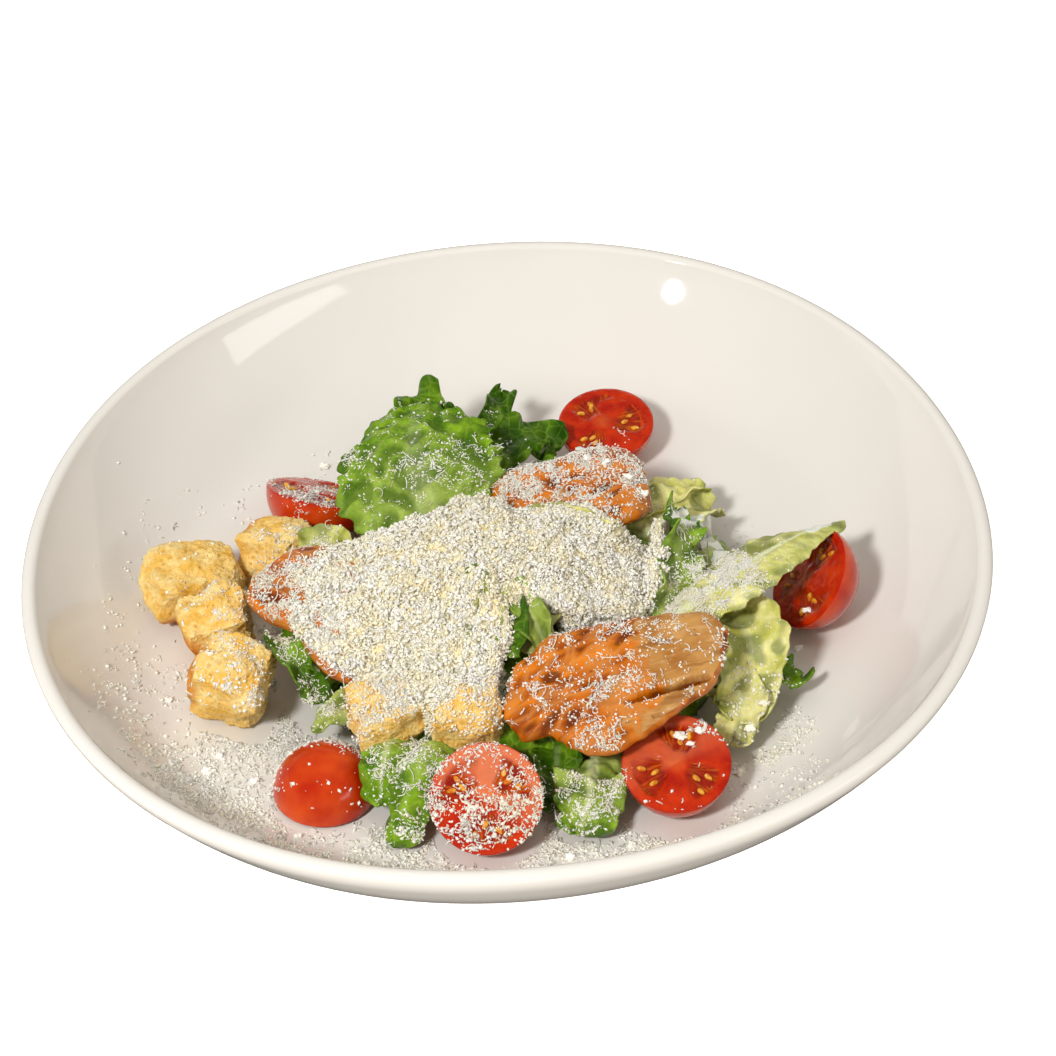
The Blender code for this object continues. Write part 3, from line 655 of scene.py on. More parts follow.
def build_chicken():
    meat = grilled_chicken()
    for name, (place, long, wide, thick, turn, tilt, toward, bend, seed) in CHICKEN.items():
        shape = bmesh.new()
        slab = shape.verts.layers.float_vector.new("slab")
        crust = shape.verts.layers.float.new("crust")
        groove_light = shape.verts.layers.float.new("groove_light")
        lie = pose(place, tilt, toward, turn)
        back = lie.inverted()
        slits = []
        if seed == FRONT_SEED:
            slits = [
                (back @ Vector(at), length, width, math.radians(angle - turn))
                for at, length, width, angle in SLITS
            ]

        def shape_point(vert, angle, v):
            q = math.sin(math.pi * v) ** 0.75
            rough = 1 + 0.03 * noise.noise(Vector((math.cos(angle) * 7, math.sin(angle) * 7, seed + v)))
            reach = chicken_outline(angle, seed) * rough
            x, y = long * reach * q * math.cos(angle), wide * reach * q * math.sin(angle)
            side = 1 if v < 0.5 else -1
            height = side * thick * (1 - q**5) ** 0.5
            brown = seared(x / long, y / wide, q, side, seed)
            fold = 0.4
            if side > 0:
                flat = 1 - q**4
                warp = 2.5 * ripple(x, y, 8.0, seed + 2)
                fold = 1 - 2.2 * abs(ripple(x * 0.38 + y * 0.2, y * 0.8 - x * 0.35 + warp, 3.3, seed))
                height += CHICKEN_RIDGE * math.sin(x / 2.6 + 1.5 * math.sin(y / 5)) * flat * 0.4 * brown
                height += flat * 1.5 * brown * (fold - 0.5)
                height += flat * (0.2 * ripple(x * 0.16, y, 1.3, seed) + 0.5 * ripple(x, y, 6.0, seed))
                height += flat * 0.35 * brown * ripple(x * 0.4, y, 1.8, seed + 4)
                for at, length, width, slant in slits:
                    dx, dy = x - at.x, y - at.y
                    along = (dx * math.cos(slant) + dy * math.sin(slant)) / length
                    across = (dy * math.cos(slant) - dx * math.sin(slant)) / width
                    inside = smooth((1.25 - math.hypot(along, across)) / 0.4)
                    height -= SLIT_DEPTH * inside
                    brown = max(brown, inside)
                    # Painted shade: the gaps between the strands get the darkest colour.
                    fold = fold * (1 - inside) - 0.2 * inside
            vert[slab] = (x, y, height)
            vert[crust] = brown
            vert[groove_light] = fold
            return Vector((x, y, height - bend * (x / long) ** 2))

        blob(shape, 56, 32, shape_point, split=4)
        shape.transform(lie)
        add_piece("grilled_" + name, shape, [meat], [name])


def leaf_frame(leaf, t):
    """Middle of a leaf at t, the directions across and out of it, and its breadth there."""
    base, middle, tip, _, roll, _, _, _, end = leaf
    a, b, c = Vector(base), Vector(middle), Vector(tip)
    along = ((b - a) * (1 - t) + (c - b) * t).normalized()
    side = along.cross(Vector((0, 0, 1))).normalized()
    side = Matrix.Rotation(math.radians(roll), 3, along) @ side
    breadth = (0.55 + 0.45 * smooth(t / 0.35)) * (1 + (end - 1) * smooth((t - 0.35) / 0.65))
    breadth *= math.sqrt(max(0.05, 1 - max(0.0, (t - 0.9) / 0.1) ** 2.5))
    return bezier(a, b, c, t), side, side.cross(along), breadth


# Leaves: base, middle and tip of the spine, width, roll, cup, ruffle, waves, breadth at the tip
LEAVES = {
    "back_large": ((-17, 4, 34), (-30, 32, 56), (-20, 57, 44), 48, -8, -6, 2.0, 2.0, 0.75),
    "back_frill": ((-22, 44, 30), (-23, 58, 42), (-16, 62, 42), 20, 0, 2, 3.0, 2.5, 0.8),
    "curly_spike": ((-3, 44, 24), (0, 62, 34), (1, 76, 32), 13, 20, 2, 2.6, 2.5, 0.5),
    "curly_right": ((-4, 42, 26), (9, 60, 36), (16, 55, 24), 16, 10, 2, 3.0, 2.5, 0.7),
    "right_pale": ((34, 12, 20), (50, 20, 35), (60, 28, 20), 20, 8, 3, 1.5, 1.5, 0.6),
    "right_yellow": ((30, 18, 22), (48, 30, 31), (59, 34, 23), 13, -8, 2, 1.2, 1.5, 0.7),
    "rib_strip": ((0, 6, 34), (14, 7, 48), (30, 2, 36), 9, 55, 1, 0.4, 1.0, 0.7),
    "right_crisp": ((40, -26, 24), (52, -7, 48), (48, 12, 34), 13, 45, 2, 2.6, 3.0, 0.8),
    "right_rib": ((36, -32, 26), (70, -18, 50), (95, 2, 36), 24, -14, -2, 0.8, 1.5, 0.22),
    "iceberg": ((50, -26, 26), (73, -32, 39), (59, -56, 18), 19, -12, 5, 1.5, 1.5, 0.8),
    "right_curl": ((48, -42, 18), (70, -45, 26), (78, -41, 18), 11, 0, 2, 2.0, 2.5, 0.7),
    "iceberg_low": ((50, -42, 20), (67, -52, 28), (57, -62, 16), 15, 6, 3, 1.2, 2.0, 0.7),
    "centre_rib": ((-10, -40, 28), (-11, -32, 47), (-7, -22, 48), 11, 0, 2, 0.5, 1.0, 0.5),
    "centre_leaf": ((3, -22, 30), (9, -31, 48), (3, -42, 36), 16, 0, -2, 1.6, 2.0, 0.7),
    "left_dark": ((-64, -22, 28), (-62, -30, 38), (-52, -44, 24), 9, 0, 2, 2.2, 2.5, 0.8),
    "front_small": ((-30, -54, 20), (-35, -68, 35), (-36, -79, 20), 14, 0, -2, 1.2, 1.5, 0.8),
    "front_rib": ((-20, -58, 24), (-25, -77, 37), (-33, -90, 16), 15, 0, -4, 0.8, 1.5, 0.75),
    "front_frill": ((20, -62, 18), (20, -82, 30), (15, -91, 17), 20, 0, -2, 2.4, 3.0, 0.8),
    "left_pale": ((-42, 4, 28), (-51, 10, 44), (-56, 8, 30), 10, 0, 2, 1.0, 2.0, 0.9),
    "front_olive": ((-35, -42, 21), (-45, -50, 31), (-54, -50, 22), 12, 0, 0, 0.8, 1.0, 0.8),
    "under_chicken": ((12, -56, 20), (10, -72, 29), (9, -80, 15), 13, 0, 2, 2.0, 2.0, 0.7),
    "back_low": ((8, 34, 24), (22, 46, 34), (38, 50, 16), 20, 0, -2, 2.2, 2.0, 0.7),
    "behind": ((-26, 42, 26), (-34, 60, 36), (-34, 72, 17), 20, 0, -2, 2.4, 2.5, 0.7),
    "right_low": ((44, 2, 24), (60, 4, 32), (68, 10, 15), 20, 0, -2, 2.2, 2.0, 0.7),
}
# How each looks: tint from dark green 0 over bright green 0.4 to pale yellow 1, rib, frill and blisters
LEAF_LOOKS = {
    "back_large": (0.42, 0.1, 0.9, 1.5),
    "back_frill": (0.28, 0.0, 1.1, 0.8),
    "curly_spike": (0.1, 0.0, 1.2, 0.8),
    "curly_right": (0.12, 0.05, 1.3, 0.8),
    "right_pale": (0.95, 0.5, 0.6, 0.6),
    "right_yellow": (0.95, 0.4, 0.6, 0.6),
    "rib_strip": (0.95, 0.5, 0.1, 0.1),
    "right_crisp": (0.45, 0.1, 1.2, 0.8),
    "right_rib": (0.85, 0.9, 0.4, 0.4),
    "iceberg": (0.92, 0.3, 1.0, 1.0),
    "right_curl": (0.32, 0.0, 1.2, 0.8),
    "iceberg_low": (0.97, 0.3, 1.0, 1.0),
    "centre_rib": (0.6, 0.4, 0.3, 0.3),
    "centre_leaf": (0.85, 0.2, 0.7, 0.6),
    "left_dark": (0.2, 0.1, 1.4, 1.0),
    "front_small": (0.42, 0.3, 1.2, 1.2),
    "front_rib": (0.4, 0.05, 1.2, 1.0),
    "front_olive": (0.65, 0.2, 0.6, 0.6),
    "front_frill": (0.5, 0.4, 1.7, 1.3),
    "left_pale": (0.8, 0.3, 0.7, 0.6),
    "under_chicken": (0.1, 0.1, 1.0, 0.8),
    "back_low": (0.2, 0.1, 1.2, 0.8),
    "behind": (0.25, 0.1, 1.2, 0.8),
    "right_low": (0.55, 0.2, 1.0, 0.8),
}
# Small leaves that show through the cheese, each with its tint
DIP_LEAVES = (
    (((-9, -44, 38), (-5, -36, 48), (-3, -26, 44), 9, 15, 2, 1.5, 2.0, 0.7), 0.8),
    (((9, -42, 38), (6, -35, 46), (3, -25, 42), 9, -20, 2, 1.5, 2.0, 0.7), 0.5),
    (((0, -46, 38), (1, -38, 45), (1, -29, 42), 9, 0, 2, 1.5, 2.0, 0.8), 0.05),
)
LEAF_THICKNESS = 0.5
SCRAPS = 50


def bezier(a, b, c, t):
    return a * (1 - t) ** 2 + b * 2 * t * (1 - t) + c * t * t


def leaf_point(leaf, look, seed, place, t, s):
    """A point of a leaf at t along its spine and s across it, and how high it stands in its folds.

    Place is the frame of the spine there.
    """
    middle, side, up, breadth = place
    base, bend, tip, width, _, cup, ruffle, waves, _ = leaf
    length = (Vector(bend) - Vector(base)).length + (Vector(tip) - Vector(bend)).length
    _, _, frill, blister = look
    rim = smooth((abs(s) - 0.4) / 0.6)
    breadth *= 1 + rim * 0.2 * noise.noise(Vector((t * length / 4.0, seed, math.copysign(2, s))))
    wave = ruffle * s * abs(s) * math.sin(math.tau * waves * t + width)
    spot = middle + side * (s * width / 2 * breadth) + up * (cup * s * s + wave)
    edge = max(rim, smooth((t - 0.75) / 0.25))
    curl = noise.noise(Vector((t * length / 5.0, s * width / 14, seed + 3)))
    curl += 0.5 * noise.noise(Vector((t * length / 2.4, s * width / 6, seed)))
    # The crease also lowers the fold value, which paints shade into the leaf's colour.
    crease = min(1.0, 2.6 * abs(crumple(spot, 7.0, seed)))
    bumps = blister * (0.7 - crease)
    return spot + up * (bumps + 2.4 * frill * edge * curl), 1 - crease


def add_leaf(shape, layer, leaf, look, seed, cells):
    """Adds a leaf as a sheet of that many cells."""
    grid = bmesh.ops.create_grid(shape, x_segments=cells[0], y_segments=cells[1], size=1)["verts"]
    tint, rib, _, _ = look
    frames = {}
    for vert in grid:
        t, s = (vert.co.x + 1) / 2, vert.co.y
        if t not in frames:
            frames[t] = leaf_frame(leaf, t)
        width = 0.22 * (1.25 - t)
        middle = smooth((width - abs(s)) / (width * 0.6)) * (1 - 0.5 * t)
        lift = 0.2 * (1 - t) - 0.06 * abs(s)
        vert.co, fold = leaf_point(leaf, look, seed, frames[t], t, s)
        vert[layer] = (fold, min(1.0, max(0.0, tint + lift)), min(1.0, rib * middle * 1.5))


def reach_at(reaches, angle):
    """Reach of an outline at an angle, between the reaches given at even steps round it."""
    turn = (angle % math.tau) / math.tau * len(reaches)
    low = int(turn)
    share = smooth(turn - low)
    return reaches[low % len(reaches)] * (1 - share) + reaches[(low + 1) % len(reaches)] * share


def heap_height(x, y):
    away = Vector((x, y)) - HEAP_CENTRE
    rho = min(1.0, away.length / reach_at(HEAP_REACH, math.atan2(away.y, away.x)))
    full = (1 - rho**4) ** 0.6
    edge = floor_at(x, y) + HEAP_EDGE
    return edge + (HEAP_TOP - edge) * full + HEAP_BUMP * ripple(x, y, 13.0) * full


def thin_sheet(name, shape, finish, stands_for):
    piece = add_piece(name, shape, [finish], stands_for, closed=False)
    modifier = piece.modifiers.new("blade", "SOLIDIFY")
    modifier.thickness = LEAF_THICKNESS * MM
    modifier.offset = 0
    return piece


def near_topping(x, y, margin):
    spots = [(t[0], t[1]) for t in TOMATOES.values()]
    spots += [(c[0], max(c[1]) / 2) for c in CROUTONS.values()]
    return any(math.hypot(x - at[0], y - at[1]) < radius + margin for at, radius in spots)


def build_lettuce():
    green = lettuce_leaf()
    heap = bmesh.new()
    layer = heap.verts.layers.float_vector.new("leaf")

    def heap_point(vert, angle, v):
        q = math.sin(math.pi * v) ** 0.8
        reach = reach_at(HEAP_REACH, angle) * q * 0.97
        x = HEAP_CENTRE.x + reach * math.cos(angle)
        y = HEAP_CENTRE.y + reach * math.sin(angle)
        if v > 0.5:
            vert[layer] = (0.0, 0.1, 0.0)
            return Vector((x, y, floor_at(x, y) + 1.0))
        folds = 2.6 * abs(ripple(x, y, 6.0, 2.0)) + 1.2 * abs(ripple(x, y, 2.6, 6.0))
        # The first value paints shade into the heap's hollows, where the folds are low.
        vert[layer] = (min(1.0, folds), 0.12 + 0.35 * smooth(0.5 + ripple(x, y, 9.0, 4)), 0.0)
        return Vector((x, y, max(floor_at(x, y) + 1.2, heap_height(x, y) - 3.5 + folds * 1.5)))

    blob(heap, 74, 30, heap_point, split=3)
    pieces = [add_piece("lettuce_heap", heap, [green], ["lettuce"])]
    small = [name for name in LEAVES if name != "back_large"]
    for title, names in {"lettuce_back_leaf": ["back_large"], "lettuce_leaves": small}.items():
        shape = bmesh.new()
        layer = shape.verts.layers.float_vector.new("leaf")
        for name in names:
            cells = (140, 120) if name == "back_large" else (60, 34)
            seed = len(name) + LEAVES[name][0][0]
            add_leaf(shape, layer, LEAVES[name], LEAF_LOOKS[name], seed, cells)
        pieces.append(thin_sheet(title, shape, green, ["lettuce"]))
    scraps = bmesh.new()
    layer = scraps.verts.layers.float_vector.new("leaf")
    for index, (leaf, tint) in enumerate(DIP_LEAVES):
        add_leaf(scraps, layer, leaf, (tint, 0.3 * tint, 1.0, 0.8), 40 + index, (40, 24))
    rng = random.Random(SEED)
    made = 0
    while made < SCRAPS:
        angle = rng.uniform(0, math.tau)
        reach = reach_at(HEAP_REACH, angle)
        out = Vector((math.cos(angle), math.sin(angle), 0))
        centre = Vector((*HEAP_CENTRE, 0))
        start = centre + out * reach * rng.uniform(0.62, 0.8)
        tip = centre + out * reach * rng.uniform(0.93, 1.02)
        if near_topping(tip.x, tip.y, 2):
            continue
        start.z = heap_height(start.x, start.y) - 2
        tip.z = floor_at(tip.x, tip.y) + rng.uniform(2, 5)
        middle = (start + tip) / 2 + Vector((0, 0, rng.uniform(3, 7)))
        width, roll, cup = rng.uniform(8, 14), rng.uniform(-25, 25), rng.uniform(-3, 3)
        leaf = (start, middle, tip, width, roll, cup, 2.0, 2.0, 0.8)
        tint, rib = rng.choice((0.08, 0.15, 0.3, 0.4, 0.6)), rng.choice((0.0, 0.3))
        look = (tint, rib, rng.uniform(0.8, 1.4), 0.8)
        add_leaf(scraps, layer, leaf, look, made, (22, 14))
        made += 1
    pieces.append(thin_sheet("lettuce_scraps", scraps, green, ["lettuce"]))
    return pieces


# Cheese

UP = Vector((0, 0, 1))
DOWN = Vector((0, 0, -1))
DROP_HEIGHT = 120  # above all of the salad
GRAINS = 27500  # in each of the two pieces on the heap
SHREDS = 13500
CURLS = 350
DUST = 2200  # on each dusted crouton
DUSTED = ("toasted_crouton_centre_left", "toasted_crouton_centre")
# Where loose cheese lies thin: centre in plan and reach
CLEAN = (((-54, -71), 11), ((41, -81), 13), ((80, -13), 14), ((31, 69), 13))


def triangles_of(piece):
    """The points of a piece in millimetres, and the three corners of each of its triangles."""
    mesh = piece.data
    mesh.calc_loop_triangles()
    flat = np.empty(len(mesh.vertices) * 3)
    mesh.vertices.foreach_get("co", flat)
    corners = np.empty(len(mesh.loop_triangles) * 3, dtype=np.int32)
    mesh.loop_triangles.foreach_get("vertices", corners)
    return flat.reshape(-1, 3) / MM, corners.reshape(-1, 3)


def tree_of(pieces):
    """A tree of the pieces' triangles, in millimetres, to drop rays on."""
    points, faces, start = [], [], 0
    for piece in pieces:
        found, corners = triangles_of(piece)
        points.append(found)
        faces.append(corners + start)
        start += len(found)
    return BVHTree.FromPolygons(np.concatenate(points).tolist(), np.concatenate(faces).tolist())


def height_under(tree, x, y):
    hit = tree.ray_cast(Vector((x, y, DROP_HEIGHT)), DOWN)[0]
    return hit.z if hit else floor_at(x, y)


def drape(tree, x, y, spread):
    """Height of whatever lies under a small disc of the plan."""
    ring = [math.tau * step / 7 for step in range(7)]
    spots = [(x, y), *[(x + spread * math.cos(turn), y + spread * math.sin(turn)) for turn in ring]]
    return max(height_under(tree, *spot) for spot in spots)


def build_cheese_core(tree, finish):
    shape = bmesh.new()
    tone = shape.verts.layers.float.new("tone")

    def cheese_point(vert, angle, v):
        q = math.sin(math.pi * v) ** 0.9
        reach = reach_at(CHEESE_REACH, angle) * q * 0.95
        x = CHEESE_CENTRE.x + reach * math.cos(angle)
        y = CHEESE_CENTRE.y + reach * math.sin(angle)
        if v > 0.5:
            vert[tone] = 0.5
            return Vector((x, y, height_under(tree, x, y) - 1.5))
        bottom = drape(tree, x, y, 2.5) - 0.8
        layer = bottom + CHEESE_DEPTH * (1 - q**4) * (0.5 + 0.5 * ripple(x, y, 12.0, 3.0))
        mound = CHEESE_TOP - CHEESE_FALL * (reach / 50) ** 2
        away = (Vector((x, y)) - DIP_CENTRE).length / DIP_REACH
        mound -= DIP_DEPTH * (1 - smooth(away))
        small = 1.1 * ripple(x, y, 2.4, 2.0) + 0.7 * ripple(x, y, 1.2, 5.0)
        bumps = 2.2 * ripple(x, y, 9.0, 9.0) + 1.4 * ripple(x, y, 4.5, 7.0) + small
        # Painted shade: the hollows between the small bumps take more of the deeper colour.
        vert[tone] = 0.5 - 0.5 * small
        return Vector((x, y, max(bottom, layer + bumps - 0.8, mound + bumps - 1.5)))

    blob(shape, 80, 40, cheese_point, split=3)
    return add_piece("parmesan_heap", shape, [finish], ["parmesan"])


def strip_template(segments):
    """A three-sided bar along X, from -0.5 to 0.5, cut into that many lengths."""
    shape = bmesh.new()
    bmesh.ops.create_cone(shape, cap_ends=True, segments=3, radius1=0.5, radius2=0.5, depth=1)
    shape.transform(Matrix.Rotation(math.pi / 2, 4, "Y"))
    for cut in range(1, segments):
        geom = shape.verts[:] + shape.edges[:] + shape.faces[:]
        at = (cut / segments - 0.5, 0, 0)
        bmesh.ops.bisect_plane(shape, geom=geom, plane_co=at, plane_no=(1, 0, 0))
    return as_arrays(shape)


def grain_template():
    shape = bmesh.new()
    bmesh.ops.create_uvsphere(shape, u_segments=4, v_segments=2, radius=0.5)
    return as_arrays(shape)


def as_arrays(shape):
    bmesh.ops.triangulate(shape, faces=shape.faces)
    bmesh.ops.recalc_face_normals(shape, faces=shape.faces)
    shape.verts.index_update()
    points = np.array([vert.co[:] for vert in shape.verts])
    faces = np.array([[vert.index for vert in face.verts] for face in shape.faces])
    shape.free()
    return points, faces


def joined(name, template, sizes, curls, turns, places, shade_and_tones, finish):
    """One mesh of many copies of a small shape, each with its size, curl, turn, place and tone."""
    points, faces = template
    count = len(places)
    x = points[None, :, 0] * np.ones((count, 1))
    bend = np.where(np.abs(curls) < 0.05, 0.05, curls)[:, None]
    inner = 1 / bend - points[None, :, 1] * (sizes[:, 1] / sizes[:, 0])[:, None]
    local = np.stack(
        [
            np.sin(bend * x) * inner * sizes[:, 0:1],
            (1 / bend - np.cos(bend * x) * inner) * sizes[:, 0:1],
            points[None, :, 2] * sizes[:, 2:3] + 0.6 * sizes[:, 1:2] * x * bend,
        ],
        axis=2,
    )
    local[:, :, 1] -= local[:, :, 1].mean(axis=1, keepdims=True)
    everywhere = np.einsum("kij,knj->kni", turns, local) + places[:, None, :]
    mesh = bpy.data.meshes.new(name)
    corners = (faces[None] + (np.arange(count) * len(points))[:, None, None]).reshape(-1, 3)
    mesh.vertices.add(count * len(points))
    mesh.vertices.foreach_set("co", (everywhere * MM).reshape(-1))
    mesh.loops.add(corners.size)
    mesh.loops.foreach_set("vertex_index", corners.reshape(-1))
    mesh.polygons.add(len(corners))
    mesh.polygons.foreach_set("loop_start", np.arange(0, corners.size, 3))
    tone = mesh.attributes.new("tone", "FLOAT", "POINT")
    tone.data.foreach_set("value", np.repeat(shade_and_tones, len(points)))
    mesh.update(calc_edges=True)
    mesh.shade_smooth()
    return place_piece(name, mesh, (), [finish])


def turns_of(normals, rng, lean, roll=0.5):
    """Rotations that lay a shape's X axis nearly along a surface, each leaning and rolling a little."""
    count = len(normals)
    other = rng.normal(size=(count, 3))
    along = other - normals * np.sum(other * normals, axis=1, keepdims=True)
    along /= np.linalg.norm(along, axis=1, keepdims=True)
    tip = rng.uniform(-0.3 * lean, lean, count)[:, None]
    along = along * np.cos(tip) + normals * np.sin(tip)
    side = np.cross(normals, along)
    side /= np.linalg.norm(side, axis=1, keepdims=True)
    angle = rng.normal(0, roll, count)[:, None]
    second = side * np.cos(angle) + np.cross(along, side) * np.sin(angle)
    return np.stack([along, second, np.cross(along, second)], axis=2)


def clumped(spots, rng, members=6, reach=0.8):
    """Draws most spots together into small clumps, thins them in places and clears the bare places."""
    rng.shuffle(spots)
    alone = len(spots) // 3
    cores = spots[alone : alone + (len(spots) - alone) // members]
    gathered = np.repeat(cores, members, axis=0) + rng.normal(0, reach, (len(cores) * members, 2))
    spots = np.concatenate([spots[:alone], gathered])
    share = np.clip(0.7 + 1.6 * np.array([ripple(x, y, 5.0, 8.0) for x, y in spots]), 0.15, 1.0)
    for centre, away in CLEAN:
        share[np.linalg.norm(spots - centre, axis=1) < away] *= 0.1
    return spots[rng.random(len(spots)) < share]


def over_surface(piece, tree, count, rng):
    """Random points heaped on a piece's bare upper and outer sides, with their slopes and depths."""
    found, corners = triangles_of(piece)
    points = found[corners]
    across = np.cross(points[:, 1] - points[:, 0], points[:, 2] - points[:, 0])
    area = np.linalg.norm(across, axis=1)
    up = across[:, 2] / np.maximum(area, 1e-9) > -0.1
    pick = rng.choice(len(area), count, p=area * up / np.sum(area * up))
    a, b = np.sqrt(rng.random(count)), rng.random(count)
    shares = np.stack([1 - a, a * (1 - b), a * b], axis=1)
    places = np.einsum("ki,kij->kj", shares, points[pick])
    normals = across[pick] / area[pick, None]
    spots = [Vector(place) for place in places]
    puff = np.array([0.5 + 1.3 * crumple(p, 3.0, 4) + 0.6 * crumple(p, 1.5, 9) for p in spots])
    clear = [tree.ray_cast(p + Vector((0, 0, 0.4)), UP)[0] is None for p in spots]
    dip = np.linalg.norm(places[:, :2] - DIP_CENTRE, axis=1) < 0.7 * DIP_REACH
    chance = np.where(dip, 0.25, np.clip(0.45 + puff, 0, 1))
    keep = np.array(clear) & (rng.random(count) < chance)
    height = np.clip(puff, 0.1, 1.0) * rng.random(count)
    places += normals * (1.6 * height)[:, None]
    return places[keep], normals[keep], 1 - np.clip(1.6 * height, 0, 1)[keep]


def fall(trees, spots):
    """Where things dropped at spots of the plan come to rest, the slope there and how deep they lie."""
    places, normals = [], []
    for x, y in spots:
        found = [tree.ray_cast(Vector((x, y, DROP_HEIGHT)), DOWN)[:2] for tree in trees]
        found = [pair for pair in found if pair[0] is not None]
        if not found:
            continue
        hit, normal = max(found, key=lambda pair: pair[0].z)
        if normal.z < 0:
            normal = -normal
        if normal.z > 0.12:
            places.append(hit)
            normals.append(normal)
    return np.array(places), np.array(normals), np.full(len(places), 0.15)


def shade_and_tone_of(deep, rng):
    """How yellow each bit is, from 0 to 1: the deeper it lies, the more, which is painted shade, plus a
    little at random.
    """
    return np.clip(0.75 * deep + 0.4 * rng.random(len(deep)) ** 2, 0, 1)


# Lumps of cheese beside the heap: place in plan and size
LUMPS = (
    *((42.5, -70.5, 2.8), (48.0, -69.5, 2.4), (45.0, -72.5, 1.8), (82.3, -20.0, 2.2)),
    *((79.5, -23.5, 2.0), (-82.4, -58.4, 3.4), (-54.0, 69.0, 2.8), (62.0, -62.0, 2.8)),
    *((66.0, -57.0, 2.4), (58.0, -70.0, 2.6), (12.0, -97.0, 2.6), (20.0, -100.0, 2.0)),
    *((6.0, -103.0, 2.2), (28.0, -94.0, 2.2), (-14.0, -104.0, 2.0), (36.0, 20.0, 2.2)),
    *((30.0, 24.0, 2.0), (40.0, 15.0, 2.4), (25.0, 26.0, 2.0), (-70.0, -62.0, 2.2)),
    *((-80.0, -52.0, 1.8), (-95.0, -30.0, 1.8), (-58.0, -84.0, 2.0), (-40.0, -96.0, 2.0)),
)


def build_lumps(trees, finish):
    shape = bmesh.new()
    tone = shape.verts.layers.float.new("tone")
    for index, (x, y, size) in enumerate(LUMPS):
        base = max(height_under(tree, x, y) for tree in trees)
        stretch = 0.6 + 0.8 * abs(ripple(x, y, 3.0))
        for vert in bmesh.ops.create_icosphere(shape, subdivisions=4, radius=size / 2)["verts"]:
            broad, fine = crumple(vert.co, size * 0.45, index), crumple(vert.co, size * 0.2, index)
            rough = 1 + 0.9 * broad + 0.5 * fine
            vert[tone] = 0.2
            flat = Vector((vert.co.x, vert.co.y * stretch, vert.co.z * 0.6))
            vert.co = Vector((x, y, base + size * 0.2)) + flat * rough
    add_piece("parmesan_lumps", shape, [finish])


# Where cheese has fallen beside its heap: centre in plan, reach, turn, and how many shreds
FALLS = {
    "leaves": [
        ((-14, 40), (24, 20), 0, 420),
        ((0, 26), (26, 12), 0, 1700),
        ((-22, 52), (12, 12), 0, 120),
        ((-8, 62), (9, 6), 0, 220),
        ((-30, 20), (10, 10), 0, 350),
        ((44, -10), (22, 20), 0, 2400),
        ((56, -21), (14, 11), 20, 4200),
        ((68, -20), (14, 8), 30, 1300),
        ((60, 28), (12, 8), 0, 60),
        ((-44, -52), (20, 12), 0, 1700),
        ((-28, -78), (10, 12), 0, 1100),
        ((17, -83), (12, 9), 0, 2300),
        ((66, -44), (14, 12), 0, 140),
    ],
    "toppings": [
        ((20, 19), (24, 13), 6, 4000),
        ((20, -54), (24, 12), 14, 1000),
        ((36, -56), (18, 12), 14, 250),
        ((24, -68), (14, 8), 14, 500),
        ((-54, -21), (18, 13), -50, 3600),
        ((-74, -8), (12, 12), 0, 700),
        ((-68, -28), (12, 10), 0, 700),
        ((-60, 10), (12, 10), 0, 600),
        ((-20, -50), (20, 12), 0, 3400),
        ((-9, -80), (16, 13), 0, 1300),
        ((-4, -90), (14, 8), 0, 250),
        ((-50, 36), (14, 10), 0, 900),
        ((44, -68), (10, 4), 0, 90),
        ((32, 60), (10, 5), 0, 50),
        ((-44, -64), (10, 8), 0, 60),
        ((-60, -46), (13, 9), 0, 1500),
        ((-31, -66), (9, 8), 0, 900),
        ((72, -10), (8, 9), 0, 60),
    ],
    "bowl": [
        ((-4, -98), (64, 12), 0, 4600),
        ((-50, -86), (40, 14), -25, 1300),
        ((-92, -44), (20, 30), 20, 800),
        ((-74, -60), (22, 20), 20, 2000),
        ((60, -78), (22, 18), 30, 500),
        ((66, -56), (12, 12), 0, 800),
        ((-80, 40), (30, 20), 0, 120),
        ((-40, 64), (30, 14), 0, 50),
        ((-100, 0), (16, 30), 0, 120),
    ],
}


def share_of(patches, share):
    """The same patches with a share of their counts."""
    return [(at, reach, turn, int(count * share)) for at, reach, turn, count in patches]


def spots_in(patches, rng):
    """Points of the plan spread over soft-edged ovals."""
    found = []
    for (cx, cy), (rx, ry), turn, count in patches:
        away = np.sqrt(rng.random(count)) * 0.85 + np.abs(rng.normal(0, 0.18, count))
        angle = rng.uniform(0, math.tau, count)
        x, y = rx * away * np.cos(angle), ry * away * np.sin(angle)
        c, s = math.cos(math.radians(turn)), math.sin(math.radians(turn))
        found.append(np.stack([cx + x * c - y * s, cy + x * s + y * c], axis=1))
    return np.concatenate(found)


def heap_spots(count, rng):
    """Points of the plan spread over the heap of cheese."""
    angle = rng.uniform(0, math.tau, count)
    reach = np.array([reach_at(CHEESE_REACH, a) for a in angle])
    away = reach * (np.sqrt(rng.random(count)) + np.abs(rng.normal(0, 0.05, count)))
    x, y = away * np.cos(angle), away * np.sin(angle)
    return np.stack([CHEESE_CENTRE.x + x, CHEESE_CENTRE.y + y], axis=1)


def shred_piece(
    name, where, segments, rng, finish, length=(1.2, 3.2), thick=(0.35, 0.7), lift=0.3, lean=0.45
):
    """Makes a piece of curled shreds. Where holds their places, slopes and depths."""
    places, normals, deep = where
    count = len(places)
    places = places + normals * rng.uniform(0.0, lift, count)[:, None]
    long = rng.uniform(*length, count) * rng.uniform(0.6, 1.0, count)
    wide = rng.uniform(*thick, count)
    sizes = np.stack([long, wide, wide * rng.uniform(0.5, 0.9, count)], axis=1)
    curls = rng.normal(0, 2.2, count).clip(-4.5, 4.5)
    turns = turns_of(normals, rng, lean)
    shade_and_tones = shade_and_tone_of(deep, rng)
    joined(name, strip_template(segments), sizes, curls, turns, places, shade_and_tones, finish)


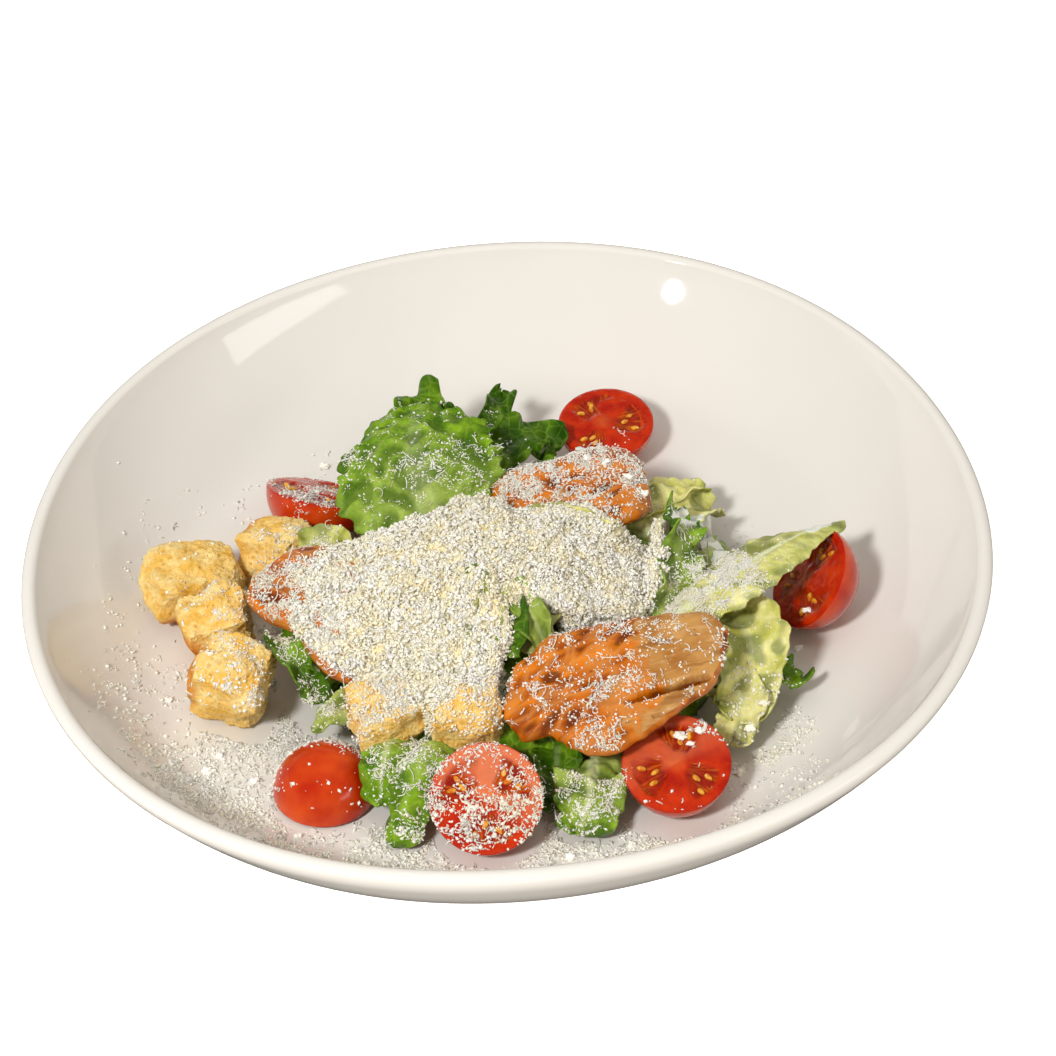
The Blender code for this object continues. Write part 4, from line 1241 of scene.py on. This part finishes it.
def grain_piece(name, where, rng, finish, size=(0.6, 1.6), lift=0.4):
    """The same of grains."""
    places, normals, deep = where
    count = len(places)
    places = places + normals * rng.uniform(0.0, lift, count)[:, None]
    big = size[0] + (size[1] - size[0]) * rng.random(count) ** 2
    wide, thick = big * rng.uniform(0.7, 1.1, count), big * rng.uniform(0.55, 0.9, count)
    sizes = np.stack([big * 1.25, wide, thick], axis=1)
    turns, curls = turns_of(normals, rng, 0.8), np.zeros(count)
    shade_and_tones = shade_and_tone_of(deep, rng)
    joined(name, grain_template(), sizes, curls, turns, places, shade_and_tones, finish)


def build_shreds(core, trees, finish):
    rng = np.random.default_rng(SEED)

    def fallen(patches, share, **clumps):
        return fall(trees, clumped(spots_in(share_of(patches, share), rng), rng, **clumps))

    for number in (1, 2):
        where = over_surface(core, trees[0], GRAINS, rng)
        grain_piece(f"parmesan_grains_{number}", where, rng, finish)
    shred_piece("parmesan_shreds", over_surface(core, trees[0], SHREDS, rng), 3, rng, finish)
    for name in DUSTED:
        where = over_surface(bpy.data.objects[name], trees[0], DUST, rng)
        title = name.replace("toasted", "parmesan_on")
        grain_piece(title, where, rng, finish, size=(0.35, 1.1), lift=0.2)
    on_food = FALLS["leaves"] + FALLS["toppings"]
    where = fallen(on_food, 0.84)
    grain_piece("parmesan_grains_around", where, rng, finish, size=(0.3, 1.0))
    where, fine = fallen(on_food, 0.4), {"length": (0.9, 3.2), "thick": (0.25, 0.42)}
    shred_piece("parmesan_shreds_around", where, 3, rng, finish, **fine)
    curls = [heap_spots(CURLS, rng), clumped(spots_in(share_of(on_food, 0.03), rng), rng)]
    where, large = fall(trees, np.concatenate(curls)), {"length": (4.0, 7.0), "thick": (0.25, 0.4)}
    shred_piece("parmesan_curls", where, 7, rng, finish, lift=1.0, **large)
    where = fallen(FALLS["bowl"], 1.2, reach=1.2)
    grain_piece("parmesan_crumbs", where, rng, finish, size=(0.35, 1.5), lift=0.2)
    where = fallen(FALLS["bowl"], 0.4, reach=1.2)
    shred_piece("parmesan_bits", where, 2, rng, finish, length=(0.8, 2.6), lift=0.2, lean=0.3)
    build_lumps(trees, finish)


# Dressing: centre in plan, reach, turn and depth of each smear
SMEARS = (
    ((53, 10), (12, 7), 20, 0.7),
    ((62, 2), (7, 5), 60, 0.5),
    ((22, 52), (7, 4), 40, 0.5),
    ((86, -4), (6, 3), 30, 0.4),
)


def build_dressing(trees):
    shape = bmesh.new()
    for index, (at, reach, turn, depth) in enumerate(SMEARS):
        c, s = math.cos(math.radians(turn)), math.sin(math.radians(turn))

        def smear_point(vert, angle, v):
            q = math.sin(math.pi * v) ** 0.8
            around = Vector((math.cos(angle) * 1.5, math.sin(angle) * 1.5, index * 3))
            edge = 1 + 0.3 * noise.noise(around)
            x, y = reach[0] * edge * q * math.cos(angle), reach[1] * edge * q * math.sin(angle)
            px, py = at[0] + x * c - y * s, at[1] + x * s + y * c
            bottom = max(height_under(tree, px, py) for tree in trees)
            top = depth * (1 - q**3) * (1 + 0.4 * ripple(px, py, 3.0, index)) if v < 0.5 else 0
            return Vector((px, py, bottom + 0.05 + top))

        blob(shape, 48, 24, smear_point)
    add_piece("dressing_smears", shape, [caesar_dressing()])


# Camera, light and floor

CAMERA_AIM = Vector((6.76, 20.65, 25.0))
CAMERA_DISTANCE = 717.6
CAMERA_ELEVATION = 41.08
CAMERA_ROLL = -3.82
LENS = 85
SENSOR = 36
FILL_BELOW = 1.35
FILL_ABOVE = 0.5
FILL_IN_GLOSS = 0.12


def build_world():
    """A pale warm surround, dim in reflections, bright from below and plain white behind the bowl."""
    world = bpy.data.worlds.new("studio")
    world.use_nodes = True
    tree = world.node_tree
    path = add(tree, "LightPath", {})
    way = add(tree, "TexCoord", {}).outputs["Generated"]
    height = add(tree, "SeparateXYZ", {0: way}).outputs["Z"]
    fill = spread(tree, height, -0.1, 0.1, FILL_BELOW, FILL_ABOVE)
    gloss = {0: path.outputs["Is Glossy Ray"], 2: fill, 3: FILL_IN_GLOSS}
    strength = add(tree, "Mix", gloss).outputs[0]
    strength = add(tree, "Mix", {0: path.outputs["Is Camera Ray"], 2: strength, 3: 1.0}).outputs[0]
    colour = blend(tree, path.outputs["Is Camera Ray"], "FFF8F0", "FFFFFF")
    background = tree.nodes["Background"]
    tree.links.new(colour, background.inputs["Color"])
    tree.links.new(strength, background.inputs["Strength"])
    bpy.context.scene.world = world


def build_camera():
    lift, roll = math.radians(CAMERA_ELEVATION), math.radians(CAMERA_ROLL)
    back = Vector((0, -math.cos(lift), math.sin(lift)))
    right = Vector((1, 0, 0))
    up = back.cross(right)
    c, s = math.cos(roll), math.sin(roll)
    turn = Matrix((right * c + up * s, up * c - right * s, back)).transposed().to_4x4()
    lens = bpy.data.cameras.new("camera")
    lens.lens, lens.sensor_width = LENS, SENSOR
    camera = bpy.data.objects.new("camera", lens)
    bpy.context.scene.collection.objects.link(camera)
    camera.matrix_world = Matrix.Translation((CAMERA_AIM + back * CAMERA_DISTANCE) * MM) @ turn
    bpy.context.scene.camera = camera


def add_light(
    name, azimuth, elevation, distance, size, watts, diffuse=True, glossy=True, outline="RECTANGLE"
):
    lamp = bpy.data.lights.new(name, "AREA")
    lamp.shape = outline
    lamp.size, lamp.size_y = size
    lamp.energy = watts
    light = bpy.data.objects.new(name, lamp)
    a, e = math.radians(azimuth), math.radians(elevation)
    out = Vector((math.cos(a) * math.cos(e), math.sin(a) * math.cos(e), math.sin(e)))
    light.location = out * distance
    light.rotation_euler = out.to_track_quat("Z", "Y").to_euler()
    light.visible_diffuse = diffuse
    light.visible_glossy = glossy
    bpy.context.scene.collection.objects.link(light)


def build_studio():
    add_light("key", -122, 47, 1.3, (0.16, 0.16), 12.6, glossy=False)
    add_light("overhead", 90, 85, 1.6, (1.2, 1.2), 2.2, glossy=False)
    add_light("softbox", -37, 21, 1.5, (0.85, 0.28), 2.4)
    add_light("glint", -139, 27, 1.3, (0.10, 0.13), 1.6, diffuse=False, outline="ELLIPSE")
    build_world()
    bpy.context.scene.view_settings.view_transform = "Standard"
    shape = bmesh.new()
    bmesh.ops.create_grid(shape, x_segments=1, y_segments=1, size=4)
    mesh = bpy.data.meshes.new("studio_floor")
    shape.to_mesh(mesh)
    shape.free()
    white, tree, shader, where = surface(
        "studio_paper", Roughness=0.9, Specular_IOR_Level=0.0,
        Emission_Color=(1, 1, 1, 1), Emission_Strength=0.6,
    )
    tree.links.new(blend(tree, grain(tree, where, 60), "FFFFFF", "FCFCFC"), shader.inputs["Base Color"])
    mesh.materials.append(white)
    floor = bpy.data.objects.new("studio_floor", mesh)
    floor.visible_diffuse = False
    floor.visible_glossy = False
    bpy.context.scene.collection.objects.link(floor)


def main():
    build_camera()
    build_studio()
    bowl = build_bowl()
    build_tomatoes()
    build_croutons()
    build_chicken()
    leaves = build_lettuce()
    toppings = [o for o in bpy.data.objects if o.name.startswith(("cherry_", "toasted_", "grilled_"))]
    food = tree_of([*leaves, *toppings])
    # The core's cheese is a darker, yellower copy of the loose cheese: painted shade that shows through
    # the gaps between the grains.
    core = build_cheese_core(food, grated_parmesan("parmesan_core_painted_shade", "FCF4D6", "EAD69A"))
    trees = (food, tree_of([bowl, core]))
    build_dressing(trees)
    build_shreds(core, trees, grated_parmesan("grated_parmesan", "FFFDF4", "FDF2CC"))


main()
